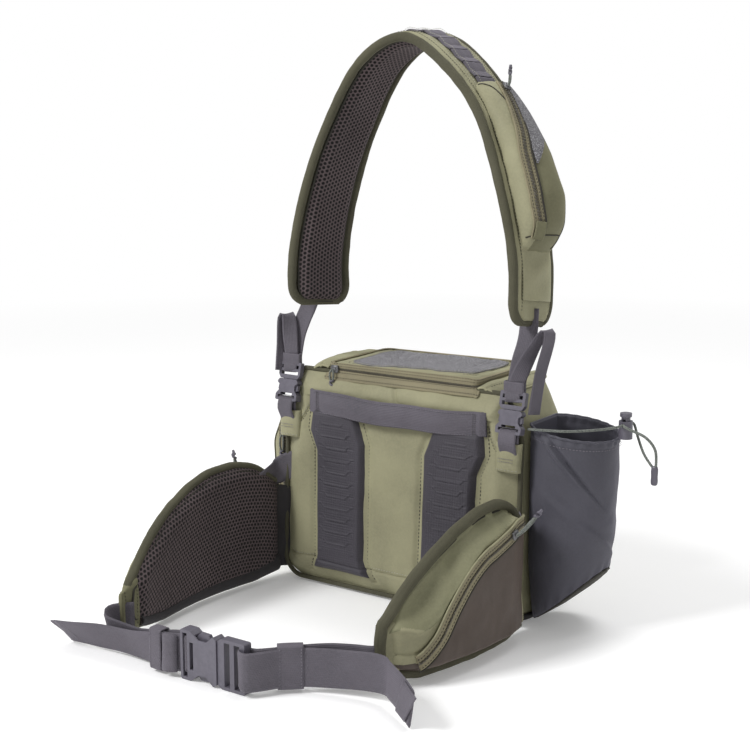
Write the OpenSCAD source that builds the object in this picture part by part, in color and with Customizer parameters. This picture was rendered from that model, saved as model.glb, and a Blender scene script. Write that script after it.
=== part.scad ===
// Hip pack with a single shoulder strap, two padded hip wings and a waist belt.
// Frame: millimetres, origin at the centre of the flat base, +Z up.
// The wearer's side faces -Y, the bottle pocket is on +X and the lid hinge is on +Y.

/* [Pack] */
// Width of the pack across the back panel
pack_w = 300; // [280:5:320]
// Height of the pack up to the zip round its rim
pack_h = 243; // [235:2:251]
// Front of the pack at the base, measured from the origin
base_front = 60; // [50:2:70]
// Front of the pack at the rim, measured from the origin
rim_front = 45; // [38:1:50]
// Half width of the pack at the rim, where the shoulders of the panel end
rim_half_w = 128; // [120:1:132]
// Thickness of the pack's fabric wall
wall = 2.5; // [2:0.5:3.5]

/* [Back panel] */
// How far the panel leans out at its base
panel_lean = 10; // [4:1:14]
// How far the padded panel swells out at its middle
panel_swell = 7; // [4:1:9]
// Thickness of the moulded back pads
pad_t = 10; // [7:1:12]
// Width of the grab handle webbing
handle_w = 25; // [20:1:28]

/* [Pockets] */
// Outer radius of the stretch bottle pocket
bottle_r = 45; // [42:1:47]
// How far the side pocket stands out
side_pocket_d = 56; // [40:2:60]

/* [Hip wings] */
// Length of the left wing from root to tip
wing_left_len = 238; // [225:1:240]
// Length of the right wing from root to tip
wing_right_len = 194; // [188:1:200]
// Thickness of the foam in a wing
wing_t = 9; // [7:1:10]

/* [Waist belt] */
// Width of the waist webbing
belt_w = 38; // [34:1:44]
// Thickness of the waist webbing
belt_t = 2; // [1.5:0.5:2]

/* [Shoulder strap] */
// Half width of the padded strap
strap_half_w = 33; // [30:1:35]
// Width of the shoulder webbing
web_w = 20; // [18:1:22]
// How far the strap pocket stands off the strap
strap_pocket_d = 42; // [25:1:46]

/* [Hidden] */

half_w = pack_w / 2;
gap = 0.4;              // clearance between neighbouring soft pieces
taper_start = 185;      // height at which the panel's sides start to draw in
back_y = -70;           // outer face of the back panel at the rim
panel_t = 4;            // fabric and lining of the back panel
foam_t = 4;             // stiffener behind the back panel
anchor_x = 141;         // half distance between the two strap anchors
anchor_y = -83.5;
anchor_z = 202;
strap_tilt = 13;        // lean of the strap buckles toward the front, degrees
wing_hinge_x = 157;
wing_hinge_y = -82;
wing_root_y = -89;
buckle_x = -1;          // mouth of the waist buckle
buckle_y = -363;
buckle_z = 25;
lock_at = [239, -22, 203];

OLIVE = "#8b876d";
DARK_OLIVE = "#4a4a38";
GREY = "#4a474c";
DARK_GREY = "#2e2b2f";
TAUPE = "#4b4239";
TAN = "#6f6650";
KNIT = "#5a575a";

// ---------------------------------------------------------------- helpers

function mix(a, b, t) = a * (1 - t) + b * t;
function unit(v) = v / norm(v);
function clamp01(t) = max(0, min(1, t));
function steps(n) = [for (i = [0 : n]) i / n];
function reversed(list) = [for (i = [len(list) - 1 : -1 : 0]) list[i]];

// Point at t (0 to 1) on a smooth curve through the control points.
function curve(p, t) =
    let (n = len(p) - 1,
         i = min(n - 1, floor(t * n)),
         u = t * n - i,
         a = p[max(0, i - 1)], b = p[i], c = p[i + 1], d = p[min(n, i + 2)])
    0.5 * ((2 * b) + (c - a) * u + (2 * a - 5 * b + 4 * c - d) * u * u
         + (3 * b - a - 3 * c + d) * u * u * u);

function curve_points(p, n) = [for (t = steps(n)) curve(p, t)];

// Direction of travel along a list of points.
function heading(path, i) =
    unit(path[min(len(path) - 1, i + 1)] - path[max(0, i - 1)]);

// Corners of a polygon rounded to radius r, with n + 1 points at each.
function rounded(pts, r, n = 5) = [
    for (i = [0 : len(pts) - 1])
    let (p = pts[i],
         a = unit(pts[(i + len(pts) - 1) % len(pts)] - p),
         b = unit(pts[(i + 1) % len(pts)] - p),
         half = acos(a * b) / 2,
         radius = is_list(r) ? r[i] : r,
         c = p + unit(a + b) * radius / sin(half),
         from = p + a * radius / tan(half) - c,
         to = p + b * radius / tan(half) - c,
         turn = (cross(from, to) > 0 ? 1 : -1) * (180 - 2 * half))
    for (k = [0 : n])
    let (t = turn * k / n)
    c + [from.x * cos(t) - from.y * sin(t), from.x * sin(t) + from.y * cos(t)]];

// Solid through a list of rings, each anticlockwise about the direction of travel.
module loft(rings, closed = false) {
    n = len(rings[0]);
    m = len(rings);
    last = closed ? m - 1 : m - 2;
    sides = [for (i = [0 : last], j = [0 : n - 1])
        let (a = i * n + j, b = i * n + (j + 1) % n,
             c = ((i + 1) % m) * n + j, d = ((i + 1) % m) * n + (j + 1) % n)
        each [[a, c, d], [a, d, b]]];
    caps = closed ? [] : [[for (j = [0 : n - 1]) j],
                          [for (j = [n - 1 : -1 : 0]) (m - 1) * n + j]];
    polyhedron([for (r = rings) each r], concat(caps, sides));
}

// Flat strip of webbing along a path. across is the direction of its width.
module webbing(path, width, thick, across = [0, 0, 1]) {
    loft([for (i = [0 : len(path) - 1])
        let (t = heading(path, i),
             n = unit(cross(t, is_list(across[0]) ? across[i] : across)),
             w = cross(n, t) * width / 2,
             h = n * thick / 2)
        [path[i] + w - h, path[i] + w + h, path[i] - w + h, path[i] - w - h]]);
}

// Round cord along a path. up is any direction that the path never follows.
module cord(path, r, up = [0, 0, 1], sides = 8, closed = false) {
    n = len(path);
    loft([for (i = [0 : n - 1])
        let (t = closed ? unit(path[(i + 1) % n] - path[(i + n - 1) % n]) : heading(path, i),
             u = unit(cross(t, up)),
             v = cross(t, u))
        [for (k = [0 : sides - 1])
            let (a = 360 * k / sides)
            path[i] + r * (u * cos(a) + v * sin(a))]], closed);
}

// Rounded rectangle at height z: rb rounds the -Y corners and rf the +Y corners.
function plan_ring(x0, x1, y0, y1, rb, rf, z, n = 4) = [
    for (p = rounded([[x0, y0], [x1, y0], [x1, y1], [x0, y1]], [rb, rb, rf, rf], n))
    [p.x, p.y, z]];

// ---------------------------------------------------------------- pack body

function side_x(z) = z < taper_start ? half_w
    : mix(half_w, rim_half_w, pow(clamp01((z - taper_start) / (pack_h - taper_start)), 1.5));
function panel_y(z) = back_y - panel_lean * (1 - clamp01(z / pack_h));
function front_y(z) = mix(base_front, rim_front, clamp01(z / pack_h));

function bag_ring(z, inset) =
    plan_ring(-side_x(z) + 1 + inset, side_x(z) - 1 - inset,
              panel_y(z) + panel_t + foam_t + 1 + inset, front_y(z) - inset,
              12 - inset, 34 - inset, z);

module bag_shell() {
    heights = [4, 60, 120, taper_start, 198, 212, 226, pack_h];
    color(OLIVE) loft(concat(
        [for (z = heights) bag_ring(z, 0)],
        [for (z = reversed(heights)) bag_ring(max(z, 4 + wall), wall)]));
}

module base_panel() {
    base_t = 3.5;
    color(DARK_OLIVE) linear_extrude(base_t)
        polygon(rounded([[-half_w + 4, panel_y(0) + 5], [half_w - 4, panel_y(0) + 5],
                         [half_w - 4, base_front - 2], [-half_w + 4, base_front - 2]],
                        [12, 12, 32, 32]));
}

// Outline of the back panel in X and Z, drawn in by inset.
function panel_outline(inset) =
    rounded([[-half_w + inset, 4 + inset], [half_w - inset, 4 + inset],
             [half_w - inset, taper_start], [rim_half_w - inset, pack_h - inset],
             [-rim_half_w + inset, pack_h - inset], [-half_w + inset, taper_start]],
            [24, 24, 40, 14, 14, 40]);

// Sheet with the panel's outline, between two depths behind the panel's outer face.
module panel_sheet(inset, from, to) {
    outline = panel_outline(inset);
    loft([for (d = [to, from]) [for (p = outline) [p.x, panel_y(p.y) + d, p.y]]]);
}

// The panel's padding swells out between its edge and its flatter middle.
module back_panel() {
    color(OLIVE) loft([for (e = [[5, panel_t], [5, 0], [18, -panel_swell * 0.7], [35, -panel_swell]])
        [for (p = panel_outline(e[0])) [p.x, panel_y(p.y) + e[1], p.y]]]);
}

module back_foam() {
    color(DARK_GREY) panel_sheet(8, panel_t + gap, panel_t + foam_t);
}

module edge_piping() {
    piping_r = 2.2;
    color(DARK_OLIVE)
        cord([for (p = panel_outline(piping_r)) [p.x, panel_y(p.y) + 2, p.y]],
             piping_r, up = [0, 1, 0], sides = 6, closed = true);
}

// Moulded pad: inner and outer edges follow the height, and the face is crowned.
module back_pad(side) {
    top = 195;
    bottom = 20;
    color(GREY) loft([for (t = steps(14))
        let (z = mix(bottom, top, t),
             x0 = lookup(t, [[0, 27], [0.12, 36], [0.85, 37], [1, 44]]),
             x1 = lookup(t, [[0, 106], [0.12, 99], [0.8, 104], [1, 110]]),
             rise = pad_t * min(1, 4 * t + 0.25, 4 * (1 - t) + 0.25),
             y = panel_y(z) - panel_swell - gap,
             edge = 7,
             xs = side > 0 ? [x0, x1] : [-x1, -x0])
        [[xs[1], y, z], [xs[0], y, z], [xs[0], y - rise * 0.5, z], [xs[0] + edge, y - rise, z],
         [xs[1] - edge, y - rise, z], [xs[1], y - rise * 0.5, z]]]);
}

module back_pad_left() {
    back_pad(-1);
}

module back_pad_right() {
    back_pad(1);
}

module grab_handle() {
    z = 209;
    reach = 108;
    flat = panel_y(z) - panel_swell - 2;
    path = curve_points([[-reach, flat, z], [-reach + 18, flat, z], [-60, flat - 5, z],
                         [0, flat - 6, z], [60, flat - 5, z], [reach - 18, flat, z],
                         [reach, flat, z]], 24);
    color(GREY) webbing(path, handle_w, 2);
}

module front_pocket() {
    color(OLIVE) loft([for (t = steps(8))
        let (z = mix(16, 178, t),
             y = front_y(z) + gap,
             d = 2 + 12 * pow(sin(180 * clamp01(0.06 + 0.88 * t)), 0.6))
        [[-104, y, z], [104, y, z], [100, y + d * 0.7, z], [84, y + d, z],
         [-84, y + d, z], [-100, y + d * 0.7, z]]]);
}

module front_zip() {
    z = 186;
    y = front_y(z) + 1.6;
    color(TAN) webbing([for (x = [-100 : 20 : 100]) [x, y, z]], 12, 2);
}

function side_depth(z) =
    lookup(z, [[28, 30], [50, side_pocket_d - 8], [90, side_pocket_d],
               [150, side_pocket_d - 4], [180, side_pocket_d - 16], [195, 14]]);

module side_pocket() {
    color(OLIVE) loft([for (z = [28, 40, 55, 75, 100, 130, 155, 175, 188, 195])
        plan_ring(-half_w - side_depth(z), -half_w - gap, -54, 38,
                  min(16, side_depth(z) / 2.2), min(16, side_depth(z) / 2.2), z)]);
}

module side_zip() {
    color(TAN) webbing([for (z = [52 : 12 : 172]) [-half_w - 16, -55.6, z]], 12, 2,
                       across = [1, 0, 0]);
}

// Zip slider with its pull, at the origin. The zip runs along X and the pull hangs along -Z.
module zip_slider(pull) {
    translate([-4, -3.4, -3.5]) cube([8, 3, 7]);
    translate([-2, -5.4, -1.5]) cube([4, 2.2, 3]);
    translate([-2.5, -5.4, -pull]) cube([5, 1.6, pull - 1]);
}

// Places children at a point with their -Y side facing out and their -Z side down the zip.
module facing(at, out, down) {
    z = -unit(down);
    y = -unit(out - z * (out * z));
    x = cross(y, z);
    multmatrix([[x.x, y.x, z.x, at.x], [x.y, y.y, z.y, at.y], [x.z, y.z, z.z, at.z]])
        children();
}

module side_zip_slider() {
    color(KNIT) translate([-half_w - 16, -57, 164]) rotate([0, 90, 0]) rotate([0, 180, 0])
        zip_slider(16);
}

// ---------------------------------------------------------------- bottle pocket

bottle_at = [187, -30];

// Ring of the pocket at t: 0 is its slanted floor and 1 its sloping mouth.
function bottle_ring(t, inset) = [
    for (a = [0 : 15 : 345])
    let (r = (bottle_r - inset) * (0.82 + 0.18 * pow(clamp01(t * 3), 0.7)),
         x = max(half_w + 1 + inset, bottle_at.x + r * cos(a)),
         along = (x - half_w) / (bottle_at.x + bottle_r - half_w),
         floor_z = mix(4, 74, pow(along, 1.3)) + inset,
         mouth_z = mix(213, 202, along))
    [x, bottle_at.y + r * sin(a), mix(floor_z, mouth_z, t)]];

module bottle_pocket() {
    thick = 1.8;
    levels = [0, 0.1, 0.22, 0.4, 0.6, 0.8, 1];
    color(GREY) loft(concat([for (t = levels) bottle_ring(t, 0)],
                            [for (t = reversed(levels)) bottle_ring(t, thick)]));
}

module bottle_cord() {
    front = [[156, -78, 213.5], [176, -84, 214.5], [204, -78, 216], [226, -62, 217],
             [237, -44, 217.5], [239, -32, 217.5]];
    loop = [[239, -12, 217.5], [243, -6, 216], [254, -8, 203], [264, -15, 190],
            [268, -20, 181]];
    color(KNIT) {
        cord(concat(curve_points(front, 15), [[239, -22, 217.5]], curve_points(loop, 12)), 1.3);
        cord(curve_points([[249, -32, 214], [262, -31, 206], [272, -26, 194],
                           [274, -21, 181]], 10), 1.3, up = [0, 1, 0]);
    }
}

module cord_end() {
    color(GREY) translate([271, -20.5, 159]) intersection() {
        translate([-5, -3, 0]) cube([10, 6, 20]);
        cylinder(r = 5.4, h = 20, $fn = 48);
    }
}

module cord_lock_body() {
    bore_r = 4.9;
    color(DARK_GREY) translate(lock_at) difference() {
        cylinder(r = 7, h = 18, $fn = 64);
        translate([0, 0, 3]) cylinder(r = bore_r, h = 16, $fn = 64);
        translate([0, 0, 14.5]) rotate([90, 0, 0]) cylinder(r = 1.7, h = 20, center = true, $fn = 32);
    }
}

module cord_lock_spring() {
    turns = 3;
    height = 7;
    path = [for (a = [0 : 20 : 360 * turns])
        lock_at + [3.6 * cos(a), 3.6 * sin(a), 3.7 + height * a / (360 * turns)]];
    color("silver") cord(path, 0.4, sides = 6);
}

module cord_lock_button() {
    color(GREY) translate(lock_at) difference() {
        union() {
            translate([0, 0, 11.4]) cylinder(r = 4.5, h = 12, $fn = 64);
            translate([0, 0, 22.4]) cylinder(r = 6, h = 3.6, $fn = 64);
        }
        translate([-1.8, -8, 12.9]) cube([3.6, 16, 7.4]);
    }
}

// ---------------------------------------------------------------- lid and main zip

rim_back = back_y + 1;
lid_half_w = 94;
lid_z = pack_h + 5.6;
lid_t = 4;

// Outline of the lid at height z, drawn in by inset.
function lid_ring(z, inset) =
    plan_ring(-lid_half_w + inset, lid_half_w - inset, rim_back + inset, rim_front - inset,
              8, 12, z);

// Band that follows the lid's edge between two heights.
module lid_band(z0, z1) {
    thick = 2.4;
    loft([lid_ring(z0, 0), lid_ring(z1, 0), lid_ring(z1, thick), lid_ring(z0, thick)],
         closed = true);
}

// Fixed fabric at each end of the lid, sewn to the rim.
module top_gussets() {
    color(OLIVE) for (side = [-1, 1])
        loft([for (e = [[0, 0], [6, 0], [lid_t + 5, 5]])
            let (x0 = lid_half_w + 0.6, x1 = rim_half_w - 1 - e[1],
                 far = plan_ring(side > 0 ? x0 : -x1, side > 0 ? x1 : -x0, rim_back + e[1],
                                 rim_front - e[1], 5, 8, pack_h + gap + e[0]))
            far]);
}

module main_zip_tape() {
    color(TAN) lid_band(pack_h + gap, pack_h + 2.6);
}

module lid_zip_tape() {
    color(TAN) lid_band(pack_h + 3, pack_h + 5.2);
}

module lid_top() {
    color(OLIVE) loft([lid_ring(lid_z, 1), lid_ring(lid_z + 2, 2), lid_ring(lid_z + lid_t, 7)]);
}

module lid_knit_patch() {
    z = lid_z + lid_t + gap;
    color(KNIT) loft([for (e = [[0, 0], [1.4, 3]])
        plan_ring(-lid_half_w + 16 + e[1], lid_half_w - 16 - e[1], rim_back + 22 + e[1],
                  rim_front - 14 - e[1], 10, 10, z + e[0])]);
}

module main_zip_slider() {
    color(KNIT) translate([-84, rim_back - 0.4, pack_h + 2.8]) zip_slider(14);
}

// ---------------------------------------------------------------- hip wings

// Height of a wing's top and bottom edge at s; the right wing stands a little taller.
function wing_top(s, side = -1) =
    (side > 0 ? 1.05 : 1)
    * lookup(s, [[0, 114], [0.06, 128], [0.14, 139], [0.24, 145], [0.4, 144],
                 [0.55, 134], [0.7, 118], [0.84, 97], [0.94, 76], [1, 60]]);
function wing_bottom(s) = lookup(s, [[0, 9], [0.15, 4], [0.8, 4], [0.93, 9], [1, 15]]);

// Plan position of a wing at s, from its root (0) to its tip (1).
function wing_at(side, s) = side < 0
    ? [-wing_hinge_x - 14 * sin(180 * s) + 4 * s * s, wing_root_y - wing_left_len * s]
    : [wing_hinge_x - 32 * s + 12 * sin(180 * s), wing_root_y - wing_right_len * s];
function wing_out(side, s) =
    let (d = unit(wing_at(side, s + 0.02) - wing_at(side, s - 0.02))) side * [-d.y, d.x];
function wing_point(side, s, out, z) =
    let (p = wing_at(side, s) + wing_out(side, s) * out) [p.x, p.y, z];

// Share of a pocket's full depth at t: it rises fast, stays level and falls fast.
function swell(t) = lookup(t, [[0, 0.25], [0.1, 0.7], [0.22, 1], [0.75, 1], [0.9, 0.7], [1, 0.25]]);

// Layer of a wing between two depths, drawn in from the edge by inset.
module wing_layer(side, depths, inset, ends = [0, 1], crown = 0, n = 14) {
    loft([for (t = steps(n))
        let (s = mix(ends[0], ends[1], t),
             z0 = wing_bottom(s) + inset,
             z1 = wing_top(s, side) - inset,
             d0 = depths[0],
             d1 = depths[1] + crown * swell(t),
             soft = min(6, (z1 - z0) / 4),
             ring = [wing_point(side, s, d0, z0), wing_point(side, s, mix(d0, d1, 0.6), z0),
                     wing_point(side, s, d1, z0 + soft), wing_point(side, s, d1, z1 - soft),
                     wing_point(side, s, mix(d0, d1, 0.6), z1), wing_point(side, s, d0, z1)])
        side > 0 ? ring : reversed(ring)]);
}

// Rolled binding along the wing's top edge, round its tip and back along the bottom.
module wing_binding(side) {
    r = 4.2;
    top = [for (s = steps(16)) wing_point(side, s, 0, wing_top(s, side) - r + 1)];
    bottom = [for (s = reversed(steps(12))) wing_point(side, s, 0, wing_bottom(s) + r - 1)];
    tip = [for (t = [0.25, 0.5, 0.75])
        wing_point(side, 1.012, 0, mix(wing_top(1, side) - r, wing_bottom(1) + r, t))];
    color(DARK_OLIVE) cord(concat(top, tip, bottom), r, up = [1, 0, 0], sides = 8);
}

wing_edge = 10.6;    // room left at the wing's edge for the rolled binding
pocket_crown = 14;  // how far the right wing's pocket swells out
mesh_depths = [-wing_t / 2 - 2.4, -wing_t / 2 - gap];
cover_depths = [wing_t / 2 + gap, wing_t / 2 + 3];

module wing_left_pad() {
    color(DARK_GREY) wing_layer(-1, [-wing_t / 2, wing_t / 2], wing_edge, [0.01, 0.975]);
}

module wing_left_mesh() {
    color(DARK_GREY) wing_layer(-1, mesh_depths, wing_edge, [0.02, 0.97]);
}

module wing_left_shell() {
    color(OLIVE) wing_layer(-1, cover_depths, wing_edge, [0.02, 0.97]);
}

module wing_left_binding() {
    wing_binding(-1);
}

module wing_right_pad() {
    color(DARK_GREY) wing_layer(1, [-wing_t / 2, wing_t / 2], wing_edge, [0.01, 0.975]);
}

module wing_right_mesh() {
    color(DARK_GREY) wing_layer(1, mesh_depths, wing_edge, [0.02, 0.97]);
}

module wing_right_pocket() {
    color(TAUPE) wing_layer(1, cover_depths, wing_edge, [0.04, 0.97], pocket_crown);
}

module wing_right_binding() {
    wing_binding(1);
}

// Height of the slanting zip at s, falling from the root toward the tip.
function zip_z(s) =
    curve([126.5, 120.5, 114.5, 107.5, 93, 70, 41, 25], clamp01((s - 0.2) / 0.66));
function zip_out(s) = cover_depths[1] + pocket_crown * swell((s - 0.04) / 0.93) + 1.6;

function zip_line(s) = wing_point(1, s, zip_out(s), zip_z(s));

module wing_right_zip() {
    color(TAN) webbing([for (t = steps(14)) zip_line(mix(0.2, 0.85, t))], 14, 2);
}

module wing_right_slider() {
    s = 0.26;
    at = wing_point(1, s, zip_out(s) + 1.2, zip_z(s));
    out = wing_out(1, s);
    color(KNIT) facing(at, [out.x, out.y, 0], zip_line(0.4) - zip_line(s)) zip_slider(20);
}

// Folded end tab that holds the belt at a wing's tip.
module wing_tab(side) {
    tip = wing_at(side, 1);
    along = unit(wing_at(side, 1) - wing_at(side, 0.96));
    start = tip + along * 7.5;
    end = tip + along * 15;
    color(OLIVE) loft([for (t = steps(3))
        let (p = mix(start, end, t), w = wing_out(side, 1) * mix(5, 2.2, t),
             z0 = mix(14, 8, t), z1 = mix(62, 54, t),
             a = p - w, b = p + w,
             ring = [[a.x, a.y, z0], [b.x, b.y, z0], [b.x, b.y, z1], [a.x, a.y, z1]])
        side > 0 ? reversed(ring) : ring]);
}

module wing_left_tab() {
    wing_tab(-1);
}

module wing_right_tab() {
    wing_tab(1);
}

// ---------------------------------------------------------------- side-release buckles

// The mating plane is z = 0, the socket is below it and the plug above. X is the width.
module frame_plate(outline, thick) {
    rotate([90, 0, 0]) linear_extrude(thick, center = true) polygon(outline);
}

module buckle_socket(w, thick, long) {
    skin = 1.8;
    waist = w * 0.15;
    half = w / 2;
    difference() {
        frame_plate(rounded([[-half, -long], [half, -long], [half, -long * 0.72],
                             [half - waist, -long * 0.5], [half - waist, -long * 0.28],
                             [half, -4], [half - 3, 0], [-half + 3, 0], [-half, -4],
                             [-half + waist, -long * 0.28], [-half + waist, -long * 0.5],
                             [-half, -long * 0.72]], 1.8, 3), thick);
        translate([-half + 5, -thick / 2 + skin, -long * 0.66])
            cube([w - 10, thick - 2 * skin, long]);
        translate([-half - 1, -thick / 2 + skin, -long * 0.62])
            cube([w + 2, thick - 2 * skin, long * 0.41]);
        translate([-half * 0.55, -thick, -long * 0.74]) cube([w * 0.55, thick * 2, long * 0.1]);
        translate([-half + 3, -thick, -long + 3]) cube([w - 6, thick * 2, long * 0.12]);
    }
}

module buckle_plug(w, thick, long, reach) {
    half = w / 2;
    blade = 4;
    difference() {
        frame_plate(rounded([[-half + 3, 0.4], [half - 3, 0.4], [half, 5], [half, long],
                             [-half, long], [-half, 5]], 1.8, 3), thick);
        for (z = [0.26, 0.62])
            translate([-half + 3, -thick, long * z]) cube([w - 6, thick * 2, long * 0.2]);
    }
    translate([-w * 0.08, -blade / 2, -reach * 0.8]) cube([w * 0.16, blade, reach * 0.8 + 1]);
}

// Two spring arms with the catches that show in the socket's side windows.
module buckle_prongs(w, reach, thick) {
    half = w / 2;
    for (side = [-1, 1]) mirror([side > 0 ? 0 : 1, 0, 0])
        frame_plate([[half - 10, 0.35], [half - 6.2, 0.35], [half - 6.2, -reach * 0.32],
                     [half - 1.5, -reach * 0.42], [half - 1, -reach * 0.8],
                     [half - 7, -reach], [half - 10, -reach]], thick);
}

waist_buckle_w = belt_w + 11;
waist_buckle_t = 13;
waist_socket_long = 44;
waist_plug_long = 33;
waist_reach = 28;

module at_waist() {
    translate([buckle_x, buckle_y, buckle_z]) rotate([0, 90, 0]) children();
}

module waist_socket() {
    color(GREY) at_waist() buckle_socket(waist_buckle_w, waist_buckle_t, waist_socket_long);
}

module waist_plug() {
    color(GREY) at_waist()
        buckle_plug(waist_buckle_w, waist_buckle_t - 3, waist_plug_long, waist_reach);
}

module waist_plug_prongs() {
    color(GREY) at_waist() buckle_prongs(waist_buckle_w, waist_reach, 4);
}

// ---------------------------------------------------------------- waist belt

// The webbing starts just outside each half of the buckle.
socket_end_x = buckle_x - waist_socket_long - 2.4;
plug_end_x = buckle_x + waist_plug_long + 1.2;

// Strip of belt webbing between the lists of its lower and upper edge points.
module belt_strip(low, high, n) {
    webbing(curve_points((low + high) / 2, n), belt_w, belt_t, curve_points(high - low, n));
}

module belt_web_left() {
    x = socket_end_x;
    y = buckle_y;
    main_low = [[-152, -347, 6], [-152, -352, 5], [-145, -354, 3], [-125, -352, 2],
                [-98, -352, 2], [-72, -358, 3], [x - 5, y + 1.6, 6], [x, y + 1, 6]];
    main_high = [[-152, -347, 44], [-154, -357, 43], [-146, -364.5, 40], [-125, -366, 38],
                 [-97, -366.5, 37], [-72, -365, 41], [x - 5, y + 1.6, 44], [x, y + 1, 44]];
    // The tail leans over as it runs out along the floor.
    tail_low = [[x, y - 3.6, 6], [-64, -367.4, 5], [-95, -359.5, 3.8], [-132, -358.5, 3.8],
                [-165, -360, 4], [-194, -361, 4]];
    tail_high = [[x, y - 3.6, 44], [-66, -371.5, 42], [-93, -374, 37], [-134, -376, 35],
                 [-168, -380, 31], [-206, -382, 26]];
    color(GREY) {
        belt_strip(main_low, main_high, 28);
        belt_strip(tail_low, tail_high, 24);
    }
}

module belt_web_right() {
    x = plug_end_x;
    y = buckle_y;
    main = [[x, y + 1, 6], [x + 4, y + 4.5, 6], [44, -350.5, 6], [53, -339.5, 6],
            [66, -324, 6], [84, -308, 6], [98, -300, 6], [111, -297, 6]];
    // The tail bends over toward its end and comes down to the floor.
    tail_low = [[x, y - 3.4, 6], [42, -358.5, 6], [54, -345.5, 6], [70, -331.5, 6],
                [92, -320, 6.5], [118, -312.5, 8], [138, -309.5, 9], [147, -310.5, 9],
                [154, -314, 8.4], [171, -325, 6.5], [189, -337, 4.4]];
    rise = [[0, 0, 1], [0, 0, 1], [0, 0, 1], [0, 0, 1], [0, 0, 1], [0, 0, 1], [0.02, -0.01, 1],
            [0.05, -0.03, 1], [0.14, -0.1, 0.98], [0.34, -0.2, 0.92], [0.5, -0.3, 0.8]];
    color(GREY) {
        belt_strip(main, [for (p = main) p + [0, 0, belt_w]], 28);
        belt_strip(tail_low, tail_low + rise * belt_w, 30);
    }
}

module belt_keeper() {
    long = 24;
    depth = 15;
    color(GREY) translate([59, -335, buckle_z]) rotate([0, 0, 41]) difference() {
        cube([long, depth, belt_w + 4], center = true);
        cube([long + 2, depth - 2.6, belt_w + 1.2], center = true);
    }
}

// ---------------------------------------------------------------- shoulder strap

strap_buckle_w = web_w + 9;
strap_buckle_t = 9;
strap_socket_long = 24;
strap_plug_long = 19;
strap_reach = 15;
strap_mate = 28;        // mating plane of the strap buckles above their anchors

// Places children at a strap anchor, with Z along the leaning line of its buckle.
module at_anchor(side) {
    translate([side * anchor_x, anchor_y, anchor_z]) rotate([-strap_tilt, 0, 0]) children();
}
function anchor_point(side, x, y, z) =
    [side * anchor_x + x, anchor_y + y * cos(strap_tilt) + z * sin(strap_tilt),
     anchor_z - y * sin(strap_tilt) + z * cos(strap_tilt)];

// Reinforcement tab and the webbing loop that holds a socket.
module strap_anchor(side) {
    x = side * anchor_x;
    color(OLIVE) webbing([[x, anchor_y + 1, 168], [x, anchor_y + 2, 180],
                          [x, anchor_y + 1, 192]], web_w + 2, 2, across = [1, 0, 0]);
    color(GREY) webbing([[x, anchor_y - 1.2, 174], [x, anchor_y - 1.2, 190],
                         anchor_point(side, 0, 0, 0.6), anchor_point(side, 0, 0, 3.4)],
                        web_w, 2, across = [1, 0, 0]);
}

module strap_anchor_left() {
    strap_anchor(-1);
}

module strap_anchor_right() {
    strap_anchor(1);
}

module strap_socket(side) {
    color(GREY) at_anchor(side) translate([0, 0, strap_mate])
        buckle_socket(strap_buckle_w, strap_buckle_t, strap_socket_long);
}

module strap_socket_left() {
    strap_socket(-1);
}

module strap_socket_right() {
    strap_socket(1);
}

module strap_plug(side) {
    color(GREY) at_anchor(side) translate([0, 0, strap_mate])
        buckle_plug(strap_buckle_w, strap_buckle_t - 3, strap_plug_long, strap_reach);
}

module strap_plug_left() {
    strap_plug(-1);
}

module strap_plug_right() {
    strap_plug(1);
}

module strap_plug_prongs() {
    color(GREY) for (side = [-1, 1]) at_anchor(side) translate([0, 0, strap_mate])
        buckle_prongs(strap_buckle_w, strap_reach, 4);
}

plug_end_z = strap_mate + strap_plug_long + 0.8;

module strap_web_left() {
    slot = anchor_point(-1, 0, 0, plug_end_z);
    color(GREY) {
        webbing(curve_points([slot, slot + [0, 1.4, 6], [-140, -65, 276], [-136, -60, 294],
                              [-131, -57, 306.5]], 16), web_w, 2, across = [1, 0.2, 0]);
        webbing(curve_points([slot + [-3, -5, 2], [-143, -73, 276], [-146, -71, 294],
                              [-152, -70, 301], [-158, -71, 294], [-162, -73, 264],
                              [-161, -77, 238]], 20), web_w * 0.8, 2, across = [0.5, 1, 0]);
    }
}

module strap_web_right() {
    slot = anchor_point(1, 0, 0, plug_end_z);
    color(GREY) {
        webbing(curve_points([slot, slot + [0, 1.4, 6], [143, -66, 276], [146, -61, 294],
                              [147, -59, 306.5]], 16), web_w, 2, across = [1, 0.05, 0]);
        webbing(curve_points([slot + [4, -5, 2], [150, -73, 272], [162, -70, 296],
                              [173, -68, 312], [176, -70, 304], [170, -73, 268],
                              [166, -78, 228]], 22), web_w * 0.8, 2, across = [0.3, 1, 0]);
    }
}

// Centre line of the padded strap, from its left end over the top to its right end.
STRAP_LINE = [[-117, -56, 314], [-122, -48, 368], [-116, -38, 430], [-98, -26, 499],
              [-62, -15, 570], [-12, -10, 598], [40, -15, 571], [88, -24, 519],
              [124, -38, 440], [142, -46, 375], [147, -55, 314]];
function strap_at(s) = curve(STRAP_LINE, clamp01(s));
function strap_heading(s) = unit(strap_at(s + 0.01) - strap_at(s - 0.01));
function strap_across(s) =
    let (t = strap_heading(s), w = [mix(0.38, 0.02, clamp01(1.5 * s)), 1, 0])
    unit(w - t * (w * t));
// Point on the strap: w across it, up off its outer face.
function strap_point(s, w, up) =
    strap_at(s) + strap_across(s) * w + cross(strap_heading(s), strap_across(s)) * up;
// The strap's ends are round in plan.
function strap_half(s) =
    let (e = min(s, 1 - s) / 0.045) strap_half_w * sqrt(1 - 0.82 * pow(1 - clamp01(e), 2));

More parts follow.
